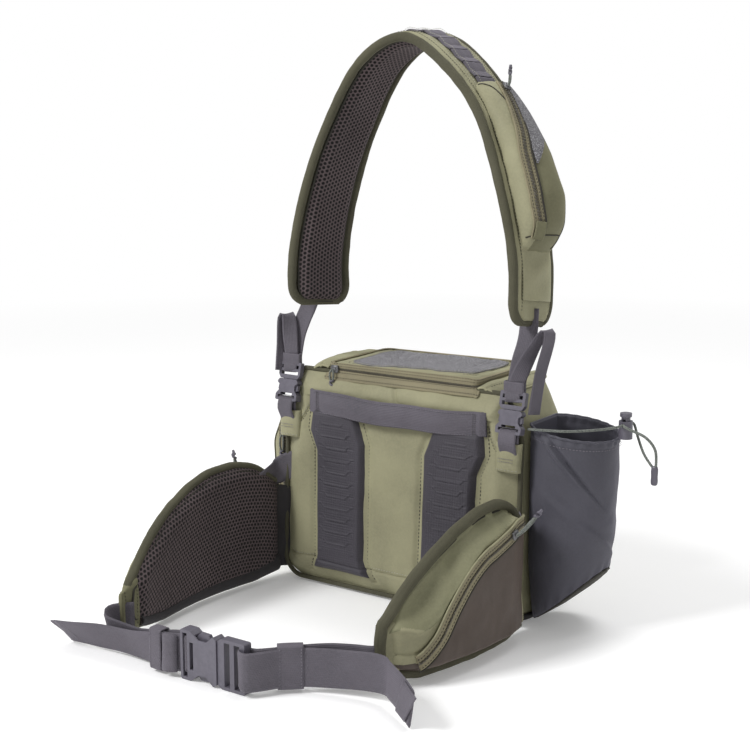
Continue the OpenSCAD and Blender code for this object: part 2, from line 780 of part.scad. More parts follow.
module strap_layer(inset, from, to, ends = [0, 1], n = 36) {
    loft([for (t = steps(n))
        let (s = mix(ends[0], ends[1], t), w = strap_half(s) - inset)
        [strap_point(s, w, from), strap_point(s, w, to),
         strap_point(s, -w, to), strap_point(s, -w, from)]]);
}

pad_ends = [0.027, 0.973];

module strap_pad() {
    color(OLIVE) strap_layer(2.9, -3.6, 4, pad_ends);
}

module strap_mesh() {
    color(DARK_GREY) strap_layer(3, -6.6, -4.2, pad_ends);
}

module strap_binding() {
    r = 3.6;
    near = [for (s = steps(36)) strap_point(s, -strap_half(s) - r - gap, -1)];
    far = [for (s = reversed(steps(36))) strap_point(s, strap_half(s) + r + gap, -1)];
    color(DARK_OLIVE) cord(concat(near, far), r, up = [0.05, 1, 0.02], sides = 6, closed = true);
}

module strap_daisy_chain() {
    color(GREY) strap_layer(13, 4.4, 6.2, [0.44, 0.65], 16);
}

// Pocket on the strap's outer face; t runs from its upper end to its lower end.
pocket_ends = [0.655, 0.89];
pocket_base = 4.4;
pocket_half = 29;
function pocket_s(t) = mix(pocket_ends[0], pocket_ends[1], t);
function pocket_depth(t) =
    strap_pocket_d * lookup(t, [[0, 0.3], [0.2, 0.52], [0.45, 0.86], [0.68, 1],
                                [0.84, 0.8], [0.94, 0.45], [1, 0.1]]);

// Height of the pocket's skin at q across it (-1 near edge, 1 far edge), as a share of its depth.
function pocket_rise(q) = lookup(abs(q), [[0, 1], [0.6, 0.9], [1, 0.55]]);

// Point on the pocket's skin at (t, q), raised off it by off.
function pocket_skin(t, q, off) =
    let (d = pocket_depth(t), e = 0.02,
         run = unit([2 * e * pocket_half, d * (pocket_rise(q + e) - pocket_rise(q - e))]))
    strap_point(pocket_s(t), q * pocket_half - run.y * off,
                pocket_base + d * pocket_rise(q) + run.x * off);

// The zip starts near the middle of the pocket's top and sweeps to its near edge.
function zip_q(t) = lookup(t, [[0.05, 0.1], [0.3, -0.42], [0.45, -0.68], [0.7, -0.79], [0.92, -0.72]]);

module strap_pocket() {
    w = pocket_half;
    base = pocket_base;
    color(OLIVE) loft([for (t = steps(14))
        let (s = pocket_s(t), d = pocket_depth(t))
        [strap_point(s, w, base), strap_point(s, w, base + d * 0.55),
         strap_point(s, w * 0.6, base + d * 0.9), strap_point(s, 0, base + d),
         strap_point(s, -w * 0.6, base + d * 0.9), strap_point(s, -w, base + d * 0.55),
         strap_point(s, -w, base)]]);
}

// Strip on the pocket's skin through rows of [t, near q, far q], from off0 to off1 above it.
module pocket_strip(rows, off0, off1) {
    loft([for (r = rows)
        concat([pocket_skin(r[0], r[1], off0)],
               [for (k = steps(4)) pocket_skin(r[0], mix(r[1], r[2], k), off1)],
               [for (k = [1, 0.75, 0.5, 0.25]) pocket_skin(r[0], mix(r[1], r[2], k), off0)])]);
}

zip_half = 0.17;    // half width of the zip tape, as a share of the pocket's half width

module strap_pocket_knit() {
    rows = [for (k = steps(10))
        let (t = mix(0.08, 0.5, k))
        [t, zip_q(t) + zip_half + 0.03, lookup(t, [[0.08, 0.62], [0.37, 0.24], [0.5, -0.42]])]];
    color(KNIT) pocket_strip(rows, gap + 0.5, gap + 1.8);
}

module strap_pocket_zip() {
    rows = [for (k = steps(14))
        let (t = mix(0.07, 0.89, k))
        [t, zip_q(t) - zip_half, zip_q(t) + zip_half]];
    color(TAN) pocket_strip(rows, gap + 0.6, gap + 2);
}

slider_start = 0.1;

module strap_pocket_slider() {
    t = slider_start;
    q = zip_q(t);
    color(KNIT) facing(pocket_skin(t, q, gap + 3.2), pocket_skin(t, q, 9) - pocket_skin(t, q, 0),
                       pocket_skin(0.27, zip_q(0.27), 0) - pocket_skin(t, q, 0)) zip_slider(14);
}

// ---------------------------------------------------------------- assembly

bag_shell();
base_panel();
back_foam();
back_panel();
back_pad_left();
back_pad_right();
edge_piping();
grab_handle();
front_pocket();
front_zip();
side_pocket();
side_zip();
side_zip_slider();
bottle_pocket();
bottle_cord();
cord_end();
cord_lock_body();
cord_lock_spring();
cord_lock_button();
strap_anchor_left();
strap_anchor_right();
top_gussets();
main_zip_tape();
main_zip_slider();
lid_top();
lid_knit_patch();
lid_zip_tape();
wing_left_pad();
wing_left_mesh();
wing_left_binding();
wing_left_shell();
wing_left_tab();
wing_right_pad();
wing_right_mesh();
wing_right_binding();
wing_right_pocket();
wing_right_zip();
wing_right_slider();
wing_right_tab();
belt_web_left();
waist_socket();
belt_web_right();
belt_keeper();
waist_plug();
waist_plug_prongs();
strap_socket_left();
strap_socket_right();
strap_plug_left();
strap_plug_right();
strap_plug_prongs();
strap_web_left();
strap_web_right();
strap_pad();
strap_mesh();
strap_binding();
strap_daisy_chain();
strap_pocket();
strap_pocket_knit();
strap_pocket_zip();
strap_pocket_slider();
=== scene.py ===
"""Looks of a hip pack with a shoulder strap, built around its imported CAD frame.

Shapes are worked out in millimetres in the CAD's own frame and written to meshes in metres.
"""

import math

import bpy
import numpy as np
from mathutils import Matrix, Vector, noise
from mathutils.bvhtree import BVHTree


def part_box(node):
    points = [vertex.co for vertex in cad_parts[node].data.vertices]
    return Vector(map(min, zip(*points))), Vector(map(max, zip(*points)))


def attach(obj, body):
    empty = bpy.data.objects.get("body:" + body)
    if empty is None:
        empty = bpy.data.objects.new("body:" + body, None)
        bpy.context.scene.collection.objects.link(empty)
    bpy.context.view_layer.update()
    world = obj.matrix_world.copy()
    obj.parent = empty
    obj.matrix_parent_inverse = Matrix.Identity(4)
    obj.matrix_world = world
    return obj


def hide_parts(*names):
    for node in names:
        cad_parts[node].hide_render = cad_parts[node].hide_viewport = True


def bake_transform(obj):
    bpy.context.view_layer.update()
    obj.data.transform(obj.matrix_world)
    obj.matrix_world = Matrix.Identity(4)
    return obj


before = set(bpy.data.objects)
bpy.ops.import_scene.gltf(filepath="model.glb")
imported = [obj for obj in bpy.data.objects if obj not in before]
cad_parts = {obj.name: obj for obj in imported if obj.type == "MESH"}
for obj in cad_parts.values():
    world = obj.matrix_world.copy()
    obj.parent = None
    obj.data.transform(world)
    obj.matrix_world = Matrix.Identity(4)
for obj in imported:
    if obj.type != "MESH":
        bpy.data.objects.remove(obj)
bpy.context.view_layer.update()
MM = 0.001

# ------------------------------------------------------------------ numbers


def box_mm(node):
    """Lowest and highest corners of a CAD node in millimetres."""
    low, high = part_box(node)
    return np.array(low) / MM, np.array(high) / MM


def unit(v):
    v = np.asarray(v, float)
    return v / np.maximum(np.linalg.norm(v, axis=-1, keepdims=True), 1e-9)


def lookup(t, table):
    return np.interp(t, [row[0] for row in table], [row[1] for row in table])


def mix(a, b, t):
    return a * (1 - t) + b * t


def ease(t):
    t = np.clip(t, 0, 1)
    return t * t * (3 - 2 * t)


def peak(x, centre, width):
    return np.exp(-(((x - centre) / width) ** 2))


def curve(points, t):
    """Points at t (0 to 1) on a smooth curve through the control points."""
    p = np.asarray(points, float)
    n = len(p) - 1
    t = np.clip(np.atleast_1d(np.asarray(t, float)), 0, 1)
    i = np.minimum(n - 1, np.floor(t * n).astype(int))
    u = (t * n - i)[:, None]
    a, b = p[np.maximum(0, i - 1)], p[i]
    c, d = p[i + 1], p[np.minimum(n, i + 2)]
    return 0.5 * (2 * b + (c - a) * u + (2 * a - 5 * b + 4 * c - d) * u ** 2
                  + (3 * b - a - 3 * c + d) * u ** 3)


def line(points, n):
    return curve(points, np.linspace(0, 1, n))


def lengths(path):
    steps = np.linalg.norm(np.diff(path, axis=0), axis=1)
    return np.concatenate([[0], np.cumsum(steps)])


def at_lengths(path, wanted, values=None):
    """The path, or values given along it, at the wanted distances from its start."""
    s = lengths(path)
    return np.stack([np.interp(wanted, s, column)
                     for column in (path if values is None else values).T], 1)


def resample(path, spacing):
    """The same path with evenly spaced points."""
    path = np.asarray(path, float)
    total = lengths(path)[-1]
    return at_lengths(path, np.linspace(0, total, max(2, int(total / spacing) + 1)))


def relaxed(path, rounds):
    """The path smoothed a number of times, with its ends held."""
    path = np.array(path, float)
    for _ in range(rounds):
        path[1:-1] = (path[:-2] + 2 * path[1:-1] + path[2:]) / 4
    return path


def full_turn(count):
    return np.linspace(0, 2 * math.pi, count, endpoint=False)


def ripple(points, size, seed=0.0, octaves=3):
    """Smooth noise between about -1 and 1 at each point; size is its grain in millimetres."""
    flat = np.asarray(points, float).reshape(-1, 3) / size + seed * 7.31
    out = np.array([noise.fractal(Vector(p), 1.0, 2.0, octaves) for p in flat])
    return out.reshape(np.asarray(points).shape[:-1])


# ------------------------------------------------------------------ materials


class Graph:
    """Short hand for a material's nodes."""

    def __init__(self, name):
        self.mat = bpy.data.materials.new(name)
        self.mat.use_nodes = True
        self.tree = self.mat.node_tree
        self.tree.nodes.clear()

    def node(self, kind, **values):
        made = self.tree.nodes.new("ShaderNode" + kind)
        for key, value in values.items():
            if hasattr(made, key):
                setattr(made, key, value)
            else:
                self.put(made.inputs[key.replace("_", " ")], value)
        return made

    def put(self, socket, value):
        if isinstance(value, bpy.types.NodeSocket):
            self.tree.links.new(value, socket)
        else:
            socket.default_value = value

    def math(self, operation, a, b=0.0):
        made = self.node("Math", operation=operation)
        self.put(made.inputs[0], a)
        self.put(made.inputs[1], b)
        return made.outputs[0]

    def wave(self, x, pitch, phase=0.0):
        """A sine of x, from 0 to 1, that repeats every pitch metres."""
        turned = self.math("MULTIPLY_ADD", x, 2 * math.pi / pitch)
        turned.node.inputs[2].default_value = phase
        return self.math("MULTIPLY_ADD", self.math("SINE", turned), 0.5)

    def blend(self, factor, a, b, kind="MIX"):
        made = self.tree.nodes.new("ShaderNodeMix")
        made.data_type = "RGBA"
        made.blend_type = kind
        self.put(made.inputs[0], factor)
        self.put(made.inputs[6], a)
        self.put(made.inputs[7], b)
        return made.outputs[2]

    def noise(self, vector, scale, detail=3.0, rough=0.55):
        made = self.node("TexNoise")
        self.put(made.inputs["Vector"], vector)
        made.inputs["Scale"].default_value = scale
        made.inputs["Detail"].default_value = detail
        made.inputs["Roughness"].default_value = rough
        return made.outputs[0]

    def spread(self, value, low, high):
        made = self.node("MapRange")
        self.put(made.inputs["Value"], value)
        made.inputs["From Min"].default_value = low
        made.inputs["From Max"].default_value = high
        return made.outputs[0]


def linear(rgb):
    """Linear colour of a screen colour given as 0 to 255."""
    c = np.asarray(rgb, float) / 255
    c = np.where(c <= 0.04045, c / 12.92, ((c + 0.055) / 1.055) ** 2.4)
    return (*[float(v) for v in c], 1.0)


def weave_height(g, kind, pitch, u, v, where):
    """Height pattern of a weave, 0 to 1, from the sheet's own coordinates."""
    if kind == "plain":
        a, b = g.wave(u, pitch), g.wave(v, pitch)
        c = g.wave(g.math("ADD", u, v), pitch)
        crossing = g.math("ADD", g.math("MULTIPLY", a, b), g.math("MULTIPLY", c, 0.5))
        return g.math("MULTIPLY", crossing, 0.7)
    if kind == "rib":
        across = g.wave(v, pitch)
        along = g.wave(g.math("ADD", u, g.math("MULTIPLY", v, 0.5)), pitch * 1.3)
        return g.math("ADD", g.math("MULTIPLY", across, 0.65), g.math("MULTIPLY", along, 0.35))
    if kind == "grid":
        a = g.math("POWER", g.wave(u, pitch), 6.0)
        b = g.math("POWER", g.wave(v, pitch), 6.0)
        return g.math("MAXIMUM", a, b)
    if kind == "mesh":
        third = math.sqrt(3) / 2
        u, half_v = g.math("MULTIPLY", u, third), g.math("MULTIPLY", v, 0.5)
        a, b, c = (g.wave(x, pitch, 1.57)
                   for x in (v, g.math("ADD", u, half_v), g.math("SUBTRACT", u, half_v)))
        total = g.math("ADD", g.math("ADD", a, b), c)
        return g.math("SUBTRACT", 1.0, g.spread(total, 1.15, 1.85))
    if kind == "knit":
        grain = g.noise(where, 1 / pitch, 2.0, 0.7)
        bent = g.math("ADD", u, g.math("MULTIPLY", grain, pitch))
        return g.math("MULTIPLY", grain, g.wave(bent, pitch))
    return g.noise(where, 1 / pitch, 2.0)


def fabric(name, rgb, weave="plain", pitch=0.9, rough=0.82, sheen=0.25, bump=0.35, vary=0.1,
           hole=None, fleck=None, wear=0.1, depth=0.25):
    """Woven or moulded finish. Pitches are in millimetres."""
    g = Graph(name)
    uv = g.node("UVMap").outputs[0]
    split = g.node("SeparateXYZ", Vector=uv)
    u, v = split.outputs[0], split.outputs[1]
    where = g.node("TexCoord").outputs["Object"]
    height = weave_height(g, weave, pitch * MM, u, v, where)
    base, dark = linear(rgb), linear(np.array(rgb) * (1 - vary) * 0.93)
    light = linear(np.minimum(np.array(rgb) * (1 + vary), 255))
    cloud = g.spread(g.noise(where, 14.0, 4.0), 0.35, 0.65)
    colour = g.blend(cloud, dark, base)
    fine = g.spread(g.noise(where, 420.0, 2.0), 0.3, 0.7)
    colour = g.blend(g.math("MULTIPLY", fine, 0.35), colour, light)
    if hole is not None:
        colour = g.blend(height, linear(hole), colour)
    else:
        shade = g.math("MULTIPLY", g.math("SUBTRACT", 1.0, height), 0.22)
        colour = g.blend(shade, colour, linear(np.array(rgb) * 0.62))
    if fleck is not None:
        spots = g.spread(g.noise(where, 950.0, 1.0), 0.5, 0.62)
        colour = g.blend(spots, colour, linear(fleck))
    if wear:
        edge = g.spread(g.node("NewGeometry").outputs["Pointiness"], 0.52, 0.6)
        scuff = g.math("MULTIPLY", edge, g.spread(g.noise(where, 90.0), 0.4, 0.65))
        colour = g.blend(g.math("MULTIPLY", scuff, wear), colour,
                         linear(np.minimum(np.array(rgb) * 1.5 + 18, 255)))
    shader = g.node("BsdfPrincipled")
    g.put(shader.inputs["Base Color"], colour)
    patch = g.spread(g.noise(where, 30.0), 0.3, 0.7)
    g.put(shader.inputs["Roughness"], g.math("MULTIPLY_ADD", patch, 0.12))
    shader.inputs["Roughness"].links[0].from_node.inputs[2].default_value = rough - 0.06
    shader.inputs["Sheen Weight"].default_value = sheen
    shader.inputs["Sheen Roughness"].default_value = 0.5
    shader.inputs["Sheen Tint"].default_value = linear(np.minimum(np.array(rgb) * 1.6 + 20, 255))
    shader.inputs["Specular IOR Level"].default_value = 0.35
    lumps = g.noise(where, 160.0, 3.0)
    small = g.node("Bump", Strength=bump, Distance=depth * MM, Height=height)
    large = g.node("Bump", Strength=0.25, Distance=0.8 * MM, Height=lumps)
    g.put(large.inputs["Normal"], small.outputs[0])
    g.put(shader.inputs["Normal"], large.outputs[0])
    out = g.node("OutputMaterial")
    g.put(out.inputs[0], shader.outputs[0])
    return g.mat


def plastic(name, rgb, rough=0.42, metal=0.0, wear=0.35):
    """Moulded plastic or metal with a fine grain and scuffed edges."""
    g = Graph(name)
    where = g.node("TexCoord").outputs["Object"]
    cloud = g.spread(g.noise(where, 55.0, 4.0), 0.3, 0.7)
    colour = g.blend(cloud, linear(np.array(rgb) * 0.95), linear(rgb))
    edge = g.spread(g.node("NewGeometry").outputs["Pointiness"], 0.51, 0.58)
    scuff = g.math("MULTIPLY", edge, g.spread(g.noise(where, 240.0), 0.35, 0.65))
    colour = g.blend(g.math("MULTIPLY", scuff, wear), colour,
                     linear(np.minimum(np.array(rgb) * 1.45 + 15, 255)))
    shader = g.node("BsdfPrincipled")
    g.put(shader.inputs["Base Color"], colour)
    g.put(shader.inputs["Roughness"], g.math("MULTIPLY_ADD", cloud, 0.14))
    shader.inputs["Roughness"].links[0].from_node.inputs[2].default_value = rough - 0.05
    shader.inputs["Metallic"].default_value = metal
    grain = g.noise(where, 2200.0, 2.0)
    g.put(shader.inputs["Normal"],
          g.node("Bump", Strength=0.3, Distance=0.08 * MM, Height=grain).outputs[0])
    g.put(g.node("OutputMaterial").inputs[0], shader.outputs[0])
    return g.mat


OLIVE = fabric("olive_fabric", (150, 147, 118), pitch=1.0, rough=0.7, sheen=0.2, vary=0.06)
OLIVE_SHADE = fabric("olive_shade_fabric", (112, 110, 84), pitch=1.0, rough=0.74, vary=0.07)
# The gusset olive is darker to paint the shade that falls in the right wing's concave gusset.
GUSSET_PAINTED_SHADE = fabric("olive_gusset", (128, 127, 99), pitch=1.0, rough=0.72, vary=0.07)
BINDING = fabric("binding", (78, 76, 60), "rib", 1.6, rough=0.85, bump=0.5)
BINDING_DARK = fabric("binding_dark", (52, 50, 44), "rib", 1.4, rough=0.85, bump=0.5)
WEBBING = fabric("grey_webbing", (94, 90, 98), "rib", 1.7, rough=0.72, sheen=0.3, bump=0.7,
                 depth=0.4)
PAD = fabric("grey_panel", (66, 63, 70), "grid", 2.6, rough=0.62, bump=0.55, vary=0.06)
STRETCH = fabric("grey_stretch", (76, 75, 84), pitch=0.7, rough=0.62, sheen=0.35, vary=0.05,
                 bump=0.2)
TAUPE = fabric("taupe_stretch", (76, 66, 59), pitch=0.7, rough=0.62, sheen=0.35, vary=0.06,
               bump=0.2)
MESH = fabric("spacer_mesh", (90, 79, 80), "mesh", 4.0, rough=0.85, sheen=0.15, bump=1.0, depth=1.2,
              hole=(14, 11, 12), vary=0.08)
DARK = fabric("dark_lining", (50, 48, 50), pitch=0.8, rough=0.72, bump=0.25)
KNIT = fabric("heather_knit", (92, 91, 94), "knit", 1.3, rough=0.95, sheen=0.4, bump=0.7,
              fleck=(150, 149, 152), depth=0.5)
TAPE = fabric("zip_tape", (134, 127, 102), "rib", 0.8, rough=0.75, bump=0.4)
COIL = plastic("zip_coil", (64, 60, 50), rough=0.4)
THREAD, PALE_THREAD, WEB_THREAD = (
    fabric(name, rgb, "rib", 0.5, rough=0.7, bump=0.3, wear=0.0)
    for name, rgb in (("thread", (58, 56, 48)), ("pale_thread", (168, 166, 150)),
                      ("web_thread", (120, 116, 124))))
CORD = fabric("elastic_cord", (118, 122, 116), "rib", 0.9, rough=0.7, bump=0.8, fleck=(70, 74, 72))
COATING = fabric("base_coating", (40, 38, 38), "noise", 1.6, rough=0.55, bump=0.6)
BUCKLE = plastic("buckle", (88, 85, 95), rough=0.38, wear=0.1)
SLIDER = plastic("slider", (92, 92, 94), rough=0.36, metal=0.4)
STEEL = plastic("spring_steel", (170, 170, 172), rough=0.3, metal=1.0)

# ------------------------------------------------------------------ mesh building


def finish_piece(obj, mat, body, replaces=(), between=None):
    """Gives a piece its finish, the body it rides on and the CAD nodes it stands for."""
    obj.data.materials.clear()
    for m in mat if isinstance(mat, (list, tuple)) else [mat]:
        obj.data.materials.append(m)
    if between:
        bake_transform(obj)
    else:
        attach(obj, body)
    if replaces:
        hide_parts(*replaces)
    return obj


def mesh_object(name, verts, faces, uv=None):
    me = bpy.data.meshes.new(name)
    me.from_pydata((np.asarray(verts, float) * MM).tolist(), [], [list(map(int, f)) for f in faces])
    if uv is not None:
        layer = me.uv_layers.new(name="UVMap")
        index = np.zeros(len(me.loops), int)
        me.loops.foreach_get("vertex_index", index)
        layer.data.foreach_set("uv", (np.asarray(uv, float)[index] * MM).ravel())
    me.polygons.foreach_set("use_smooth", [True] * len(me.polygons))
    me.update()
    obj = bpy.data.objects.new(name, me)
    bpy.context.scene.collection.objects.link(obj)
    return obj


def skin(rows, wrap=False, ends=False):
    """Vertices, faces and sheet coordinates of a sheet through rows of points."""
    rows = np.asarray(rows, float)
    n, m = rows.shape[:2]
    verts = rows.reshape(-1, 3)
    across = np.cumsum(np.linalg.norm(np.diff(rows, axis=1, prepend=rows[:, :1]), axis=2), axis=1)
    along = np.cumsum(np.linalg.norm(np.diff(rows, axis=0, prepend=rows[:1]), axis=2), axis=0)
    across = across - across[:, m // 2:m // 2 + 1]
    u = np.repeat(along.mean(1)[:, None], m, 1)
    uv = np.stack([u, across], 2).reshape(-1, 2)
    last = m if wrap else m - 1
    faces = [(i * m + j, i * m + (j + 1) % m, (i + 1) * m + (j + 1) % m, (i + 1) * m + j)
             for i in range(n - 1) for j in range(last)]
    if ends:
        faces.append(tuple(range(m - 1, -1, -1)))
        faces.append(tuple((n - 1) * m + j for j in range(m)))
    return verts, faces, uv


def sheet(name, rows, mat, body, replaces=(), wrap=False, ends=False, thick=0.0, level=0,
          between=None, flip=False):
    """A piece made from one sheet. thick gives it a back face that many millimetres behind."""
    verts, faces, uv = skin(rows, wrap, ends)
    if flip:
        faces = [f[::-1] for f in faces]
    obj = mesh_object(name, verts, faces, uv)
    if thick:
        solid = obj.modifiers.new("thick", "SOLIDIFY")
        solid.thickness = abs(thick) * MM
        solid.offset = -1 if thick > 0 else 1
        solid.use_even_offset = False
    if level:
        sub = obj.modifiers.new("smooth", "SUBSURF")
        sub.levels = sub.render_levels = level
    apply_modifiers(obj)
    return finish_piece(obj, mat, body, replaces, between)


def apply_modifiers(obj):
    if not obj.modifiers:
        return
    depsgraph = bpy.context.evaluated_depsgraph_get()
    fresh = bpy.data.meshes.new_from_object(obj.evaluated_get(depsgraph))
    obj.modifiers.clear()
    obj.data = fresh


def frames(path, across):
    """Width direction and normal at each point of a path."""
    t = unit(np.gradient(np.asarray(path, float), axis=0))
    n = unit(np.cross(t, np.broadcast_to(np.asarray(across, float), t.shape)))
    return np.cross(n, t), n


def ribbon_rows(path, width, thick, across, edge=0.9, lift=None, columns=14):
    """Rings of a flat strip with rounded edges, for webbing and tape."""
    w, n = frames(path, across)
    half = np.broadcast_to(np.asarray(width, float), (len(path),))[:, None] / 2
    x = np.linspace(-1, 1, columns)
    top = np.where(np.abs(x) > 0.999, thick / 2 * (1 - edge), thick / 2)
    top = top + 0.14 * thick * peak(np.abs(x), 0.9, 0.07)
    upper, heights = np.concatenate([x, x[::-1]]), np.concatenate([top, -top])
    rows = (path[:, None] + w[:, None] * (half * upper)[:, :, None]
            + n[:, None] * heights[None, :, None])
    if lift is not None:
        rows = rows + n[:, None] * np.concatenate([lift, lift[:, ::-1]], 1)[:, :, None]
    return rows


def webbing(name, path, width, thick, across, body, mat=None, replaces=(), columns=14,
            wobble=0.0, dense=True):
    """Flat webbing along a path, with a little waviness across it."""
    path = np.asarray(path, float)
    across = np.broadcast_to(np.asarray(across, float), path.shape)
    if dense:
        total = lengths(path)[-1]
        fine = np.linspace(0, total, max(6, int(total / 4)))
        path, across = at_lengths(path, fine), at_lengths(path, fine, across)
    lift = None
    if wobble:
        s = lengths(path)[:, None]
        x = np.linspace(-1, 1, columns)[None]
        lift = wobble * np.sin(s / 17 + x * 1.3) * x + wobble * 0.6 * np.sin(s / 9.0 + 2 * x)
    rows = ribbon_rows(path, width, thick, across, lift=lift, columns=columns)
    return sheet(name, rows, mat or WEBBING, body, replaces, wrap=True, ends=True)


def tube_rows(path, radius, up=(0, 0, 1), sides=8, closed=False, braid=0.0, squash=1.0):
    """Rings of a round cord along a path; braid gives it a plaited skin."""
    path = np.asarray(path, float)
    t = unit(np.roll(path, -1, 0) - np.roll(path, 1, 0) if closed else np.gradient(path, axis=0))
    u = unit(np.cross(t, np.broadcast_to(np.asarray(up, float), path.shape)))
    v = np.cross(t, u)
    angle = full_turn(sides)
    r = np.broadcast_to(np.asarray(radius, float), (len(path),))[:, None] * np.ones(sides)
    if braid:
        s = np.arange(len(path))[:, None]
        r = r * (1 + braid * np.sin(3 * angle + s * 1.9) * np.sin(3 * angle - s * 1.9))
    return (path[:, None] + u[:, None] * (r * np.cos(angle))[:, :, None]
            + v[:, None] * (r * squash * np.sin(angle))[:, :, None])


def tube_part(*args, **values):
    """Closed cord as a part for merge()."""
    return skin(tube_rows(*args, **values), wrap=True, ends=True)


def tube(name, path, radius, mat, body, replaces=(), up=(0, 0, 1), sides=8, closed=False,
         squash=1.0):
    rows = tube_rows(path, radius, up, sides, closed, squash=squash)
    if closed:
        rows = np.concatenate([rows, rows[:1]])
    return sheet(name, rows, mat, body, replaces, wrap=True, ends=not closed)


def merge(name, parts, mat, body, replaces=()):
    """One piece from several (verts, faces, uv) parts."""
    verts, faces, uv, base = [], [], [], 0
    for v, f, c in parts:
        verts.append(v)
        uv.append(c)
        faces += [[k + base for k in face] for face in f]
        base += len(v)
    obj = mesh_object(name, np.concatenate(verts), faces, np.concatenate(uv))
    return finish_piece(obj, mat, body, replaces)


stitch_lines = {}


def normals_along(normal, count):
    """A unit normal for each of count points, from one normal or from a row of them."""
    normal = np.asarray(normal, float)
    if normal.ndim == 2:
        at = np.linspace(0, len(normal) - 1, count)
        normal = np.stack([np.interp(at, np.arange(len(normal)), column) for column in normal.T], 1)
    return unit(np.broadcast_to(normal, (count, 3)))


def stitch(path, normal, body, mat=None, pitch=3.4, share=0.62, radius=0.34, lift=0.15):
    """Adds a row of stitches along a path. They are built together at the end."""
    path = resample(path, pitch)
    t = unit(np.gradient(path, axis=0))
    n = normals_along(normal, len(path))
    stitch_lines.setdefault((body, (mat or THREAD).name), []).append(
        (path + n * lift, t * pitch * share / 2, n, radius))


def build_stitches():
    """One piece of thread for each body and thread colour."""
    for (body, mat), lines in sorted(stitch_lines.items()):
        parts = []
        for path, half, n, radius in lines:
            side = unit(np.cross(half, n))
            for p, h, up, w in zip(path, half, n, side):
                ring = []
                for k, size in ((-1, 0.35), (-0.55, 1.0), (0.55, 1.0), (1, 0.35)):
                    for a, b in ((1, 0), (0, 1), (-1, 0), (0, -1)):
                        ring.append(p + h * k + (w * a + up * b) * radius * size)
                parts.append(ring)
        verts = np.array(parts).reshape(-1, 3)
        faces = []
        for base in range(0, len(verts), 16):
            for i in range(3):
                for j in range(4):
                    a, b = base + i * 4 + j, base + i * 4 + (j + 1) % 4
                    faces.append((a, b, b + 4, a + 4))
            faces.append((base + 3, base + 2, base + 1, base))
            faces.append((base + 12, base + 13, base + 14, base + 15))
        obj = mesh_object(f"stitches_{mat}_{body}", verts, faces, verts[:, :2])
        finish_piece(obj, bpy.data.materials[mat], body)


def coil_parts(path, normal, width=3.4, pitch=1.7, high=1.1):
    """Teeth of a coil zip along a path: small rounded bars that lean left and right in turn."""
    path = resample(path, pitch)
    n = normals_along(normal, len(path))
    t = unit(np.gradient(path, axis=0))
    w = unit(np.cross(n, t))
    arch = high * np.array([0, 0.8, 1, 0.8, 0])[:, None]
    parts = []
    for i in range(len(path)):
        reach = unit(w[i] + t[i] * (0.35 if i % 2 else -0.35)) * width / 2
        bar = np.linspace(path[i] - reach, path[i] + reach, 5) + n[i] * arch
        parts.append(tube_part(bar, pitch * 0.42, up=n[i] + 0.01 * t[i], sides=6))
    return parts

# ------------------------------------------------------------------ sizes from the CAD frame

shell_high = box_mm("bag_shell")[1]
base_high = box_mm("base_panel")[1]
lid_low, lid_high = box_mm("lid_top")
HALF = shell_high[0] + 1                # half width of the pack
TOP = shell_high[2]                     # height of the rim
RIM_HALF = 128.0
TAPER = 185.0                           # height where the sides start to draw in
BACK = -70.0                            # back panel at the rim
LEAN = 10.0
FRONT_BASE = base_high[1] + 2
FRONT_RIM = FRONT_BASE - 15


def side_x(z):
    z = np.asarray(z, float)
    t = np.clip((z - TAPER) / (TOP - TAPER), 0, 1) ** 1.5
    return mix(HALF, RIM_HALF, t)


def panel_y(z):
    return BACK - LEAN * (1 - np.clip(np.asarray(z, float) / TOP, 0, 1))


def front_y(z):
    return mix(FRONT_BASE, FRONT_RIM, np.clip(np.asarray(z, float) / TOP, 0, 1))


# ------------------------------------------------------------------ pack body


def squircle(angle, power):
    """Cosine and sine of a rounded square; a higher power has tighter corners."""
    c, s = np.cos(angle), np.sin(angle)
    scale = (np.abs(c) ** power + np.abs(s) ** power) ** (-1 / power)
    return c * scale, s * scale


def bag_ring(z, count=160):
    """Soft rounded outline of the pack at height z, starting at the middle of its back."""
    half = float(side_x(z)) - 1
    back, front = float(panel_y(z)) + 9, float(front_y(z))
    angle = full_turn(count) - math.pi / 2
    c, s = squircle(angle, np.where(np.sin(angle) < 0, 7.0, 3.6))
    return np.stack([half * c, (front + back) / 2 + (front - back) / 2 * s,
                     np.full(count, float(z))], 1)


